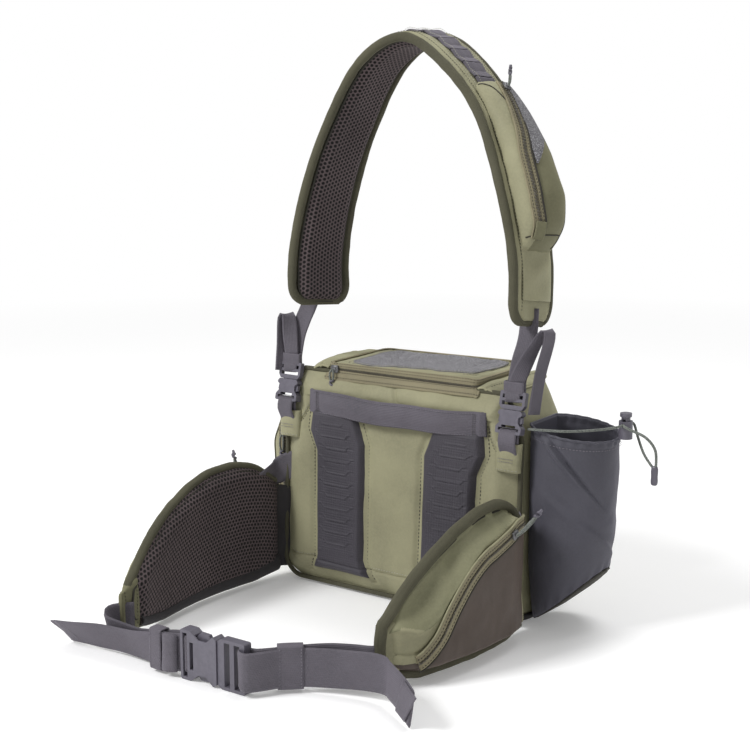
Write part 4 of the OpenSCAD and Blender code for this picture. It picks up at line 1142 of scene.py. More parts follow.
def build_bottle_pocket():
    angles = full_turn(160)
    levels = np.concatenate([np.linspace(0, 0.12, 10), np.linspace(0.14, 0.96, 74),
                             np.linspace(0.97, 1.0, 4)])
    rows = np.array([pocket_point(angles, t) for t in levels])
    centre = np.array([*POCKET_AT, 0])
    out = unit((rows - centre) * [1, 1, 0])
    t = levels[:, None]
    z = rows[..., 2]
    face = np.where(angles > math.pi, angles - 2 * math.pi, angles)[None] * POCKET_R
    # One long slanting crease runs from the strap anchor's side down across the pocket.
    near = -1.95 * POCKET_R
    across = face - mix(near + 8, -6.0, np.clip((208 - z) / 88, 0, 1))
    strength = ease((208 - z) / 10) * (1 - ease((205 - z) / 92))
    fold = strength * (4.6 * peak(across, -4.0, 3.6) - 5.4 * peak(across, 1.2, 1.5)
                       + peak(across, 7, 7))
    # A second, softer one lies under it.
    second = mix(near + 2, 12.0, np.clip((150 - z) / 70, 0, 1))
    fold = fold + 1.6 * peak(face, second, 6.5) * np.sin(np.pi * np.clip((150 - z) / 90, 0, 1))
    fold = fold - 1.5 * peak(face, second + 11, 7) * np.sin(np.pi * np.clip((158 - z) / 90, 0, 1))
    slack = ripple(rows, 60, 51, 2) * 3.0 + ripple(rows, 24, 52, 2) * 0.7
    gather = (0.7 * np.sin(angles * 26)[None] * ease((t - 0.93) / 0.06)
              + 0.8 * np.sin(angles * 17)[None] * ease((0.09 - t) / 0.09))
    hem = 0.8 * (t > 0.955)
    free = ease((rows[..., 0] - HALF - 2) / 8)
    swell = fold + slack * np.sin(np.pi * np.clip(t, 0.03, 0.97)) + gather + hem
    rows = rows + out * (swell * free)[..., None]
    sheet("bottle_pocket_skin", rows, STRETCH, "pack", ["bottle_pocket"], wrap=True, thick=1.8)
    floor = []
    for k in (0.0, 0.5, 0.9, 0.999):
        ring = mix(rows[0], np.array([POCKET_AT[0] - 6, POCKET_AT[1], 0]), k)
        ring[:, 2] = pocket_floor(ring[:, 0]) + 0.4 - 1.5 * k
        floor.append(ring)
    sheet("bottle_pocket_floor", floor, BINDING_DARK, "pack", wrap=True, thick=-1.4, flip=True)
    seen = rows[-3] + out[-3] * 0.5
    seen = seen[seen[:, 0] > HALF + 3]
    start = int(np.argmax(np.linalg.norm(np.roll(seen, 1, 0) - seen, axis=1)))
    seen = np.roll(seen, -start, 0)
    stitch(seen + [0, 0, -5.5], unit((seen - centre) * [1, 1, 0]), "pack", WEB_THREAD)
    tube("bottle_pocket_hem", rows[-1] + [0, 0, 0.2], 1.3, STRETCH, "pack", closed=True)


def build_cord():
    """Elastic cord round the pocket's mouth, its loop through the lock, and its end piece."""
    low, high = box_mm("cord_lock_body")
    x, z = (low[0] + high[0]) / 2, low[2] + 14.5
    low, high = box_mm("cord_end")
    top = np.array([(low[0] + high[0]) / 2, (low[1] + high[1]) / 2, high[2]])
    foot = top - [0, 0, 3.0]
    front = line([[158, -74, z - 6], [166, -79, z - 4.4], [180, -79, z - 3.4], [204, -74, z - 2.2],
                  [226, -58, z - 0.8], [237, -42, z], [x, -30, z], [x, -14, z]], 90)
    front_loop = line([[x, -14, z], [242, -9, z - 2], [248, -12, z - 14], [258, -18, z - 29],
                       foot - [1.2, 0, 0]], 60)
    back = line([[x, -28, z], [x + 3, -31.5, z - 0.4], [x + 9, -31, z - 3]], 14)
    back_loop = line([[x + 9, -31, z - 3], [264, -29, z - 9], [272.5, -24, z - 22],
                      foot + [1.2, 0, 0]], 50)
    parts = [tube_part(resample(np.concatenate([start, loop[1:]]), 1.2), 1.35, up=up, sides=10,
                       braid=0.1)
             for start, loop, up in ((front, front_loop, (0.1, 0.2, 1)),
                                     (back, back_loop, (0, 1, 0.2)))]
    merge("bottle_cord_piece", parts, CORD, "pack", ["bottle_cord"])
    c, s = squircle(full_turn(24), 3.5)
    rows = [top + np.stack([size * c, 0.75 * size * s, np.full(24, -k * (high[2] - low[2]))], 1)
            for k, size in ((0, 2.2), (0.06, 3.2), (0.3, 3.7), (0.55, 3.0), (0.72, 3.6),
                            (0.94, 3.4), (1.0, 2.0))]
    sheet("cord_end_piece", rows, BUCKLE, "pack", ["cord_end"], wrap=True, ends=True, level=1)


# ------------------------------------------------------------------ hip wings

WING = {-1: {"hinge": -157.0, "length": 238.0}, 1: {"hinge": 157.0, "length": 194.0}}
WING_ROOT = -89.0
WING_T = 9.0
CROWN = 14.0


def wing_top(s, side):
    return (1.05 if side > 0 else 1) * lookup(s, [
        (0, 114), (0.06, 128), (0.14, 139), (0.24, 145), (0.4, 144), (0.55, 134), (0.7, 118),
        (0.84, 97), (0.94, 76), (1, 60)])


def wing_bottom(s):
    return lookup(s, [(0, 9), (0.15, 4), (0.8, 4), (0.93, 9), (1, 15)])


def wing_at(side, s):
    s = np.asarray(s, float)
    bulge = np.sin(np.pi * s)
    if side < 0:
        x = WING[side]["hinge"] - 14 * bulge + 4 * s ** 2
    else:
        x = WING[side]["hinge"] - 32 * s + 12 * bulge
    return np.stack([x, WING_ROOT - WING[side]["length"] * s], -1)


def wing_out(side, s):
    d = unit(wing_at(side, np.asarray(s) + 0.02) - wing_at(side, np.asarray(s) - 0.02))
    return side * np.stack([-d[..., 1], d[..., 0]], -1)


def wing_point(side, s, out, z):
    s, out, z = np.broadcast_arrays(*[np.asarray(k, float) for k in (s, out, z)])
    plan = wing_at(side, s) + wing_out(side, s) * out[..., None]
    return np.concatenate([plan, z[..., None]], -1)


def swell(t):
    return lookup(t, [(0, 0.25), (0.1, 0.7), (0.22, 1), (0.75, 1), (0.9, 0.7), (1, 0.25)])


def wing_edge_loop(side, inset=0.0, out=0.0, top_n=60, tip_n=12, bottom_n=50):
    """Outline of a wing: along its top, round the tip and back along its bottom."""
    s = np.linspace(0, 1, top_n)
    top = wing_point(side, s, out, smooth_top(side, s) - inset)
    tip_s = 1.0 + 0.012 * np.sin(np.linspace(0, np.pi, tip_n))
    tip = wing_point(side, tip_s, out,
                     np.linspace(wing_top(1, side) - inset, wing_bottom(1) + inset, tip_n))
    s = np.linspace(1, 0, bottom_n)
    bottom = wing_point(side, s, out, wing_bottom(s) + inset)
    return np.concatenate([top, tip[1:-1], bottom])


def smooth_top(side, s):
    s = np.asarray(s, float)
    total = 0
    for k, w in ((-0.04, 0.15), (-0.02, 0.2), (0, 0.3), (0.02, 0.2), (0.04, 0.15)):
        total = total + w * wing_top(np.clip(s + k, 0, 1), side)
    return total


def wing_face(side, depth, crown):
    """Sheet over a wing's face: depth is where its edge lies and crown how far it swells."""
    s0, s1, inset = 0.005, 0.985, 6.0
    s = np.linspace(s0, s1, 110)[:, None]
    z0, z1 = wing_bottom(s) + inset, smooth_top(side, s) - inset
    z = mix(z0, z1, np.linspace(0, 1, 64)[None])
    ends = np.minimum(s - s0, s1 - s) * WING[side]["length"]
    edge = np.minimum(np.minimum(z - z0, z1 - z), ends)
    out = depth + crown * ease((edge + 0.5) / 13) ** 0.7
    return wing_point(side, s * np.ones((1, 64)), out, z), s, z, edge


def build_wing(side):
    name = "left" if side < 0 else "right"
    body = f"wing_{name}"
    loop = resample(wing_edge_loop(side, 3.4), 3.5)
    path = loop + ripple(loop, 30, 70 + side, 2)[:, None] * 0.7 * [0, 0, 1]
    radius = (5.3 if side > 0 else 4.6) + 0.35 * ripple(path, 12, 71, 2)
    tube(f"wing_{name}_roll", path, radius, BINDING, body, [f"wing_{name}_binding"],
         up=(1, 0, 0), sides=16, squash=1.12)
    # Inner face: spacer mesh that swells toward the wearer, with a band along its foot.
    rows = wing_face(side, -WING_T / 2 + 1.0, -7.0)[0]
    rows[..., 0] += ripple(rows, 40, 72, 2) * 0.6 * side
    sheet(f"wing_{name}_mesh_face", rows, MESH, body, [f"wing_{name}_mesh", f"wing_{name}_pad"],
          thick=2.0 * side, flip=side > 0)
    tube(f"wing_{name}_inner_piping", resample(wing_edge_loop(side, 8.6, -WING_T / 2 - 2.0), 3.0),
         1.25, BINDING_DARK, body, up=(1, 0, 0))
    s = np.linspace(0.01, 0.97, 80)
    strip = np.array([wing_point(side, s, -WING_T / 2 - 3.2 - 4.4 * math.sin(math.pi * k) ** 0.6,
                                 wing_bottom(s) + 3.5 + (9 + 9 * (1 - s) ** 1.5) * k)
                      for k in np.linspace(0, 1, 9)])
    strip[..., 0] += ripple(strip, 22, 73, 2) * 0.5
    sheet(f"wing_{name}_lower_band", strip, DARK, body, thick=1.2 * side, flip=side < 0)
    for k in (1, 7):
        stitch(strip[k] + [-side * 0.4, 0, 0], (-side, 0, 0), body)
    if side < 0:
        build_left_cover()
    else:
        build_right_pocket()


def build_left_cover():
    """Outer face of the left wing, with a slanting zip."""
    body = "wing_left"
    rows, s, z, edge = wing_face(-1, 1.0, 9.0)
    pleat = (1.1 * np.sin((s * WING[-1]["length"] + z * 0.5) / 6.5)
             * peak(z, smooth_top(-1, s) - 20, 12))
    seam = 2.2 * peak(z, mix(120, 44, s), 2.0) * ease(edge / 9)
    rows[..., 0] -= pleat + ripple(rows, 26, 74, 3) * 1.2 - seam
    sheet("wing_left_cover", rows, OLIVE, body, ["wing_left_shell"], thick=2.0)
    s = np.linspace(0.1, 0.86, 60)
    path = wing_point(-1, s, 12.4, mix(120, 44, s))
    webbing("wing_left_outer_zip", path, 13, 1.4, (0, 0.35, 1), body, TAPE)
    merge("wing_left_outer_coil", coil_parts(path + [-0.9, 0, 0], (-1, 0, 0)), COIL, body)
    zip_pull("wing_left_pull", path[2] + [-2.0, 0, 0], (-1, 0, 0.1), (0, -1, -0.3), body,
             hang=34, loop_axis=(-0.35, 0.1, 0.93))


def zip_height(s):
    share = np.clip((np.asarray(s, float) - 0.2) / 0.66, 0, 1)
    heights = np.array([126.5, 120.5, 114.5, 107.5, 93, 70, 41, 25])
    return curve(heights[:, None], share.ravel())[:, 0].reshape(share.shape)


def ridge_height(s):
    """Height of the soft ridge over the right wing's zip, where the upper panel turns in."""
    gap = lookup(s, [(0, 9), (0.55, 10), (0.7, 17), (0.85, 28), (0.95, 34)])
    return np.minimum(zip_height(s) + gap, smooth_top(1, s) - 15)


def right_out(s, z):
    """How far the right wing's pocket stands out at (s, z)."""
    z0, z1 = wing_bottom(s) + 6, smooth_top(1, s) - 6
    edge = np.minimum(z - z0, z1 - z + 4)
    ends = np.minimum(s - 0.02, 0.985 - s) * 194
    full = WING_T / 2 + 3 + CROWN * swell((s - 0.04) / 0.93)
    shape = ease((edge + 1) / 13) ** 0.5 * ease((ends + 1) / 12) ** 0.5
    over = np.clip(z - ridge_height(s), 0, None)
    room = np.maximum(z1 - ridge_height(s), 6)
    fall = 1 - np.exp(-(over / (0.42 * room)) ** 2)
    return mix(0.5, full, shape) * (1 - 0.8 * fall) - 1.6 * fall


def build_right_pocket():
    body = "wing_right"
    s = np.linspace(0.02, 0.985, 190)[:, None] * np.ones((1, 110))
    z = mix(wing_bottom(s) + 5, smooth_top(1, s) - 5, np.linspace(0, 1, 110)[None])
    ridge, top, along = ridge_height(s), smooth_top(1, s), s * WING[1]["length"]
    above = ease((z - ridge + 2) / 10)
    # The upper panel turns in over the ridge and is drawn into soft puckers.
    pucker = (np.sin(along / 5.6 + 0.9 * np.sin(s * 19) + 0.02 * z)
              * peak(z, mix(ridge, top, 0.45), 11))
    out = right_out(s, z) + above * 2.2 * pucker + 1.5 * peak(z, ridge, 2.4)
    out = out - 1.8 * peak(z, zip_height(s) + 9.4, 1.6) - 2.4 * peak(z, zip_height(s) - 9.4, 1.8)
    out = out - 1.3 * peak(z, top - 12, 1.6)
    rows = wing_point(1, s, out, z)
    grain = ripple(rows * [1, 1, 0.6], 34, 81, 3)
    slant = np.sin((z * 0.9 + along * 0.55) / 13.0) * peak(z, 34, 22)
    rows[..., 0] += ((1 - above) * (grain * 1.6 + 0.9 * slant)
                     + above * ripple(rows, 15, 82, 2) * 0.5)
    obj = sheet("wing_right_face", rows, [OLIVE, TAUPE, GUSSET_PAINTED_SHADE], body, ["wing_right_pocket"],
                thick=-1.8, flip=True)
    # Faces below the zip take the taupe cloth. Faces above the ridge take the darker gusset olive,
    # which paints the shade in the concave gusset.
    centres = face_centres(obj)
    share = np.clip((WING_ROOT - centres[:, 1]) / WING[1]["length"], 0, 1)
    below, inner = centres[:, 2] < zip_height(share), centres[:, 2] > ridge_height(share) + 2
    obj.data.polygons.foreach_set("material_index", below.astype(int) + 2 * inner.astype(int))

    k = np.linspace(0.1, 0.865, 90)
    path = wing_point(1, k, right_out(k, zip_height(k)) + 1.2, zip_height(k))
    normal = np.column_stack([wing_out(1, k), np.zeros(90)])
    width = np.cross(unit(np.gradient(path, axis=0)), normal)
    webbing("wing_right_zip_band", path, 16.5, 1.6, width, body, TAPE, ["wing_right_zip"],
            columns=18)
    merge("wing_right_coil", coil_parts(path + normal * 0.7, normal, width=2.0), COIL, body)
    for off in (-5.6, 4.2):
        stitch(path + width * off + normal * 0.9, normal, body, radius=0.42)
    edge = path + normal * 0.4
    down = width * (1 if width[40, 2] < 0 else -1)
    tube("wing_right_zip_lip", edge + down * 8.6, 1.0, BINDING_DARK, body, up=(1, 0.2, 0))
    tube("wing_right_zip_cord", edge - down * 8.4, 0.9, OLIVE, body, up=(1, 0.2, 0))
    seam = resample(wing_edge_loop(1, 9.6, 1.0), 3.0) + [0.8, 0, 0]
    tube("wing_right_inner_line", seam, 1.1, BINDING_DARK, body, up=(1, 0, 0))
    k = np.linspace(0, 1, 60)
    z, s = mix(18, 134, k), 0.075 - 0.045 * np.sin(np.pi * k)
    tube("wing_right_root_piping", wing_point(1, s, right_out(s, z) + 0.4, z), 1.5, OLIVE, body,
         up=(1, 0.3, 0))
    s = 0.26
    height = float(zip_height(s))
    at = wing_point(1, s, float(right_out(np.array(s), height)) + 3.2, height)
    down = wing_point(1, 0.4, 0, zip_height(0.4)) - wing_point(1, s, 0, height)
    zip_pull("wing_right_pull", at, (*wing_out(1, s), 0), down, "wing_zip_pull",
             ["wing_right_slider"], hang=29, loop_axis=(0.55, 0.3, 0.75))


def build_wing_tips():
    """Tabs sewn over the wings' tips, where the belt starts."""
    for side, name in ((-1, "left"), (1, "right")):
        tip, out = wing_at(side, 1.0), wing_out(side, 1)
        along = unit(wing_at(side, 1) - wing_at(side, 0.96))
        start, end = (-14.0, 6.0) if side > 0 else (-8.0, 14.0)
        c, s = squircle(full_turn(40), 4)
        rings = []
        for k in np.linspace(0, 1, 17):
            p = tip + along * mix(start, end, k)
            z0, z1 = mix(11, 9, k), mix(66, 54, ease(k))
            z = (z0 + z1) / 2 + (z1 - z0) / 2 * s
            rings.append(np.column_stack([p + out * (mix(8.6, 2.6, ease(k)) * c)[:, None], z]))
        rows = np.array(rings)
        rows[..., :2] += (ripple(rows, 14, 90 + side, 2) * 0.5)[..., None] * out
        sheet(f"wing_{name}_end_tab", rows, OLIVE if side > 0 else OLIVE_SHADE, f"wing_{name}",
              [f"wing_{name}_tab"], wrap=True, ends=True)
        for ring in rows[[3, 13]]:
            seen = ring[np.abs(ring[:, 2] - ring[:, 2].mean()) < 22]
            past = (seen[:, :2] - (tip + along * 3)) @ out
            for face in (1, -1):
                edge = seen[past * face > 0]
                normal = np.array([*out, 0]) * face
                stitch(edge[np.argsort(edge[:, 2])] + normal * 0.3, normal, f"wing_{name}")


def build_wing_roots():
    """The cloth and the stabiliser webbing between the pack and each wing."""
    us, ts = np.linspace(0, 1, 25), np.linspace(0, 1, 41)
    for side, name in ((-1, "left"), (1, "right")):
        hinge = side * 157.0
        for layer, mat, off, cover in (("web", DARK, -4.5, 0), ("cover", OLIVE_SHADE, 3.0, 1)):
            plan = line([[side * (146 + cover * 2), -68.0],
                         [side * (151.0 + 2 * cover), -76.0 - cover],
                         [side * 156.5, -84.0], wing_at(side, 0.05)], 30)
            rows = []
            for u in us:
                x, y = (np.interp(u * 29, np.arange(30), column) for column in plan.T)
                x = x + side * off * math.sin(math.pi * (0.25 + 0.6 * u))
                s = max(0.0, (WING_ROOT - y) / WING[side]["length"])
                z = mix(mix(12.0, float(wing_bottom(s)) + 4, u),
                        mix(103.0, float(smooth_top(side, s)) - 5, u), ts)
                rows.append(np.stack([np.full_like(z, x), np.full_like(z, y), z], 1))
            rows = np.array(rows)
            rows[..., 0] += side * 1.5 * np.sin(rows[..., 2] / 8.0) * np.sin(np.pi * us)[:, None]
            sheet(f"wing_{name}_root_{layer}", rows, mat, None, thick=1.6,
                  between=("pack", f"wing_{name}", (hinge, -74.0, 60.0), (hinge, -94.0, 60.0)))
        drop = 18 if side > 0 else 0
        (x1, y1), (x2, y2) = wing_at(side, 0.10), wing_at(side, 0.17)
        path = line([[side * 140, -71.5, 130 - drop], [side * 150, -76, 127 - drop],
                     [side * 157.5, -86, 121 - drop], [x1 - side * 6.4, y1, 116 - drop],
                     [x2 - side * 8.2, y2, 110 - drop]], 26)
        sheet(f"stabiliser_{name}", ribbon_rows(path, np.linspace(34, 22, 26), 1.8, (0, 0, 1)),
              WEBBING, None, wrap=True, ends=True,
              between=("pack", f"wing_{name}", (hinge, -76.0, 60.0), (hinge, -92.0, 60.0)))

# ------------------------------------------------------------------ waist belt

socket_low, socket_high = box_mm("waist_socket")
plug_high = box_mm("waist_plug")[1]
BELT_W = socket_high[2] - socket_low[2] - 11
BELT_Z = (socket_high[2] + socket_low[2]) / 2
BELT_Y = (socket_high[1] + socket_low[1]) / 2
SOCKET_END = socket_low[0]
PLUG_END = plug_high[0]


def belt_strip(name, low, high, body, count=130, replaces=(), wobble=0.25, thick=1.9):
    """Strip of belt webbing between its lower and upper edge points."""
    low, high = line(low, count), line(high, count)
    webbing(name, (low + high) / 2, BELT_W, thick, high - low, body, replaces=list(replaces),
            wobble=wobble)
    return low, high


def build_belt():
    z0, z1 = BELT_Z - BELT_W / 2, BELT_Z + BELT_W / 2
    x, y = SOCKET_END, BELT_Y
    # Left half: a loop from the wing's tip to the socket, and the tail that runs back out.
    belt_strip("belt_left_main",
               [[-142, -330, z0], [-150, -338, z0], [-154.5, -347, z0], [-152, -353, 5],
                [-145, -355, 3],
                [-125, -353, 3.6], [-98, -353, 3.6], [-72, -358.5, 4.4], [x - 6, y + 2.2, z0],
                [x + 3, y + 3.2, z0]],
               [[-142, -330, z1], [-150, -338, z1], [-156, -347, z1], [-155.5, -357, z1 - 1],
                [-147, -365, 40],
                [-125, -366.5, 38], [-97, -367, 37], [-72, -365, 41], [x - 6, y + 2.2, z1],
                [x + 3, y + 3.2, z1]],
               "belt_left", 150, ["belt_web_left"])
    low, high = belt_strip(
        "belt_left_tail",
        [[x + 3, y - 4.4, z0], [x - 3, y - 5.2, z0], [-64, -368.6, 4.6], [-95, -360.5, 4],
         [-132, -359.5, 3.8],
         [-165, -361, 3.8], [-193, -362, 3.8]],
        [[x + 3, y - 4.4, z1], [x - 3, y - 5.2, z1], [-66, -372.6, 42], [-93, -374.5, 37],
         [-134, -376.5, 35],
         [-168, -380, 31], [-205, -382, 26.5]], "belt_left", 130, wobble=0.35)
    hem("belt_left_hem", low, high, "belt_left", (0, -1, 0.4))
    bar = np.radians(np.linspace(-100, 100, 21))
    wrap = np.array([[x + 5 + 4.4 * math.cos(a), y + 4.4 * math.sin(a), BELT_Z] for a in bar])
    webbing("belt_left_bar_loop", wrap, BELT_W - 2, 1.8, (0, 0, 1), "belt_left", dense=False)
    # Spare webbing folded into a teardrop beside the socket.
    drop = line([[x - 3, y - 7.6, 0], [x - 10, y - 11.5, 0], [x - 17, y - 12.0, 0],
                 [x - 20, y - 9.8, 0],
                 [x - 16, y - 7.6, 0], [x - 9, y - 6.6, 0]], 40)
    webbing("belt_left_fold", drop + [0, 0, BELT_Z - 0.5], BELT_W - 1, 1.6, (0, 0.05, 1),
            "belt_left")
    loop_keeper("belt_left_keeper", (x - 28, y - 4.6, BELT_Z - 1.2), 15, 13.0, BELT_W + 3, -2,
                "belt_left")

    # Right half: a flattened loop beside the plug, a keeper, then the tail in front.
    x = PLUG_END
    main = [[x - 7, y + 3.4], [x - 1, y + 5.0], [x + 5, y + 6.5], [44, -350], [53, -339.5],
            [66, -323.6], [84, -307], [104, -296], [117, -291.5], [122.5, -288]]
    belt_strip("belt_right_main", [[*at, z0] for at in main], [[*at, z1] for at in main],
               "belt_right", 140, ["belt_web_right"])
    low = [[x - 7, y - 4.4, 0], [x - 1, y - 8.6, 0], [x + 5, y - 8.8, 0], [46, -360.0, 0],
           [56, -345.0, 0],
           [70, -331.2, 0], [92, -319.5, 0.4], [118, -312, 2], [137, -308.8, 3], [147.4, -309.6, 3],
           [151.5, -312.4, 2.6],
           [171, -325, 0.8], [188, -336.4, -1.2]]
    rise = np.array([[0, 0, 1]] * 7 + [[0.02, -0.01, 1], [0.04, -0.02, 1], [0.07, -0.05, 1],
                                       [0.12, -0.09, 0.98],
                                       [0.34, -0.2, 0.92], [0.5, -0.3, 0.8]])
    low = np.array(low) + [0, 0, z0]
    low, high = belt_strip("belt_right_tail", low, low + unit(rise) * BELT_W, "belt_right", 190,
                           wobble=0.3)
    hem("belt_right_hem", low, high, "belt_right", (-0.5, -0.8, 0.1))
    wrap = np.array([[x - 5 - 4.2 * math.cos(a), y + 4.0 * math.sin(a), BELT_Z] for a in bar])
    webbing("belt_right_bar_loop", wrap, BELT_W - 2, 1.8, (0, 0, 1), "belt_right", dense=False)
    low, high = box_mm("belt_keeper")
    loop_keeper("belt_keeper_band", tuple((low + high) / 2), 24, 12.5, BELT_W + 4, 41, "belt_right",
                ["belt_keeper"])


def hem(name, low, high, body, face):
    """The folded and stitched end of a tail, doubled over on one face."""
    n = max(3, int(len(low) * 0.085))
    a, b = low[-n:], high[-n:]
    push = unit(np.array(face, float)) * 2.0
    a, b = [np.concatenate([q, q[-1:] + unit(q[-1] - q[-2]) * 1.2]) for q in (a, b)]
    rows = np.array([mix(a, b, k) + push * (1 - 0.4 * abs(2 * k - 1) ** 6)
                     for k in np.linspace(0.01, 0.99, 15)])
    rows = rows.transpose(1, 0, 2)
    sheet(name, rows, WEBBING, body, thick=1.5)
    stitch(np.array([mix(a[1], b[1], k) + push * 1.5 for k in np.linspace(0.06, 0.94, 22)]), face,
           body, WEB_THREAD, pitch=2.4)


def loop_keeper(name, centre, long, depth, tall, turn, body, replaces=()):
    """A band of webbing round the layers of the belt, stitched along both edges."""
    centre, angle = np.asarray(centre, float), math.radians(turn)
    ex = np.array([math.cos(angle), math.sin(angle), 0])
    ey = np.array([-math.sin(angle), math.cos(angle), 0])
    ez = np.array([0, 0, 1])
    c, s = squircle(full_turn(96), 9.0)
    rows = []
    for t in np.linspace(-1, 1, 13):
        bulge = 0.35 * math.cos(t * math.pi / 2)
        y, z = (depth / 2 + bulge) * c, (tall / 2 + bulge * 0.4) * s
        rows.append(centre + ex * (t * long / 2) + ey * y[:, None] + ez * z[:, None])
    sheet(name, np.array(rows), WEBBING, body, replaces, wrap=True, thick=1.5)
    for t in (-0.82, 0.82):
        for face in (-1, 1):
            start = centre + ex * (t * long / 2) + ey * face * (depth / 2 + 0.2)
            heights = np.linspace(3 - tall / 2, tall / 2 - 3, 20)
            stitch(start + ez * heights[:, None], ey * face, body, WEB_THREAD, pitch=2.8)


def soften(node, width=0.5, mat=None, segments=2):
    """Rounds the edges of a CAD part that stays, and gives it its finish."""
    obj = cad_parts[node]
    mod = obj.modifiers.new("edge", "BEVEL")
    mod.width, mod.segments = width * MM, segments
    mod.limit_method, mod.angle_limit = "ANGLE", math.radians(32)
    mod.harden_normals = False
    obj.data.materials.clear()
    obj.data.materials.append(mat or BUCKLE)
    obj.data.polygons.foreach_set("use_smooth", [True] * len(obj.data.polygons))
    smooth = obj.modifiers.new("normals", "WEIGHTED_NORMAL")
    smooth.keep_sharp = True
    if not obj.data.uv_layers:
        obj.data.uv_layers.new(name="UVMap")


# ------------------------------------------------------------------ shoulder strap

STRAP_LINE = [[-117, -56, 314], [-122, -48, 368], [-116, -38, 430], [-98, -26, 499],
              [-62, -15, 570],
              [-12, -10, 598], [40, -15, 571], [88, -24, 519], [124, -38, 440], [142, -46, 375],
              [147, -55, 314]]
STRAP_HALF = 33.0
STRAP_LENGTH = 720.0


def strap_frame(s):
    """Point, direction, width and outward normal of the strap at s."""
    s = np.atleast_1d(np.asarray(s, float))
    p = curve(STRAP_LINE, s)
    t = unit(curve(STRAP_LINE, s + 0.012) - curve(STRAP_LINE, s - 0.012))
    w = np.stack([mix(0.38, 0.02, np.clip(1.5 * s, 0, 1)), np.ones_like(s), np.zeros_like(s)], 1)
    a = unit(w - t * (w * t).sum(1, keepdims=True))
    return p, t, a, np.cross(t, a)


def strap_point(s, w, up):
    s, w, up = np.broadcast_arrays(*[np.asarray(k, float) for k in (s, w, up)])
    p, t, a, n = strap_frame(s.ravel())
    out = p + a * w.ravel()[:, None] + n * up.ravel()[:, None]
    return out.reshape(s.shape + (3,))


def strap_half(s):
    e = np.minimum(s, 1 - s) / 0.045
    return STRAP_HALF * np.sqrt(1 - 0.82 * (1 - np.clip(e, 0, 1)) ** 2)


def strap_edge(inset, up, n=150):
    s = np.linspace(0.006, 0.994, n)
    near = strap_point(s, -(strap_half(s) - inset), np.full(n, float(up)))
    far = strap_point(s[::-1], strap_half(s[::-1]) - inset, np.full(n, float(up)))
    return np.concatenate([near, far])


def strap_sheet(s0, s1, inset, columns=50):
    """Grid over the strap: place along it, share of its width, half width, and edge distance."""
    s = np.linspace(s0, s1, 240)[:, None] * np.ones((1, columns))
    k = np.linspace(-1, 1, columns)[None] * np.ones((240, 1))
    half = strap_half(s) - inset
    edge = np.minimum((1 - np.abs(k)) * half, np.minimum(s - s0, s1 - s) * STRAP_LENGTH)
    return s, k, half, edge


def build_strap():
    body = "shoulder_strap"
    # Outer face.
    s, k, half, edge = strap_sheet(0.004, 0.996, -1.0)
    up = 1.0 + 4.2 * ease((edge + 1.2) / 9) ** 0.7
    wrinkle = (ripple(strap_point(s, k * half, up), 18, 101, 3) * 0.55
               + 0.5 * np.sin(s * STRAP_LENGTH / 11) * peak(np.abs(k), 0.8, 0.18))
    groove = -1.3 * peak(np.abs(k) * half, 25.5, 1.3)
    rows = strap_point(s, k * half, up + wrinkle * ease(edge / 5) + groove)
    sheet("strap_cover", rows, OLIVE, body, ["strap_pad"], thick=2.0, flip=True)
    s = np.linspace(0.03, 0.97, 260)
    for side in (-1, 1):
        stitch(strap_point(s, side * 27.4, 5.6), strap_normal(s), body)
    # Inner face: puffed spacer mesh with a piped edge.
    s, k, half, edge = strap_sheet(0.012, 0.988, 5.2, columns=60)
    up = -3.0 - 5.6 * ease((edge + 0.5) / 10) ** 0.75
    lumps = ripple(strap_point(s, k * half, up), 40, 102, 2) * 0.6
    sheet("strap_mesh_face", strap_point(s, k * half, up - lumps), MESH, body, ["strap_mesh"],
          thick=-1.6)
    tube("strap_inner_piping", resample(strap_edge(5.2, -3.6), 3.0), 1.5, BINDING_DARK, body,
         up=(0.05, 1, 0.02), closed=True)
    # Rolled binding along both edges, thicker than the pad.
    path = resample(strap_edge(-1.6, -0.6), 3.2)[:-1]
    tube("strap_roll", path, 5.0 + 0.4 * ripple(path, 14, 103, 2), BINDING, body,
         ["strap_binding"], up=(0.05, 1, 0.02), sides=16, closed=True, squash=0.92)
    centre = line(STRAP_LINE, 400)
    for up, inset in ((3.4, -0.5), (-4.4, 1.4)):
        seam = resample(strap_edge(inset, up), 3.0)
        stitch(seam, unit(seam - centre[nearest(centre, seam)]), body)
    build_daisy_chain()
    build_strap_pocket()


def nearest(points, wanted):
    """For each wanted point, the number of the nearest of the given points."""
    return np.array([((points - q) ** 2).sum(1).argmin() for q in wanted])


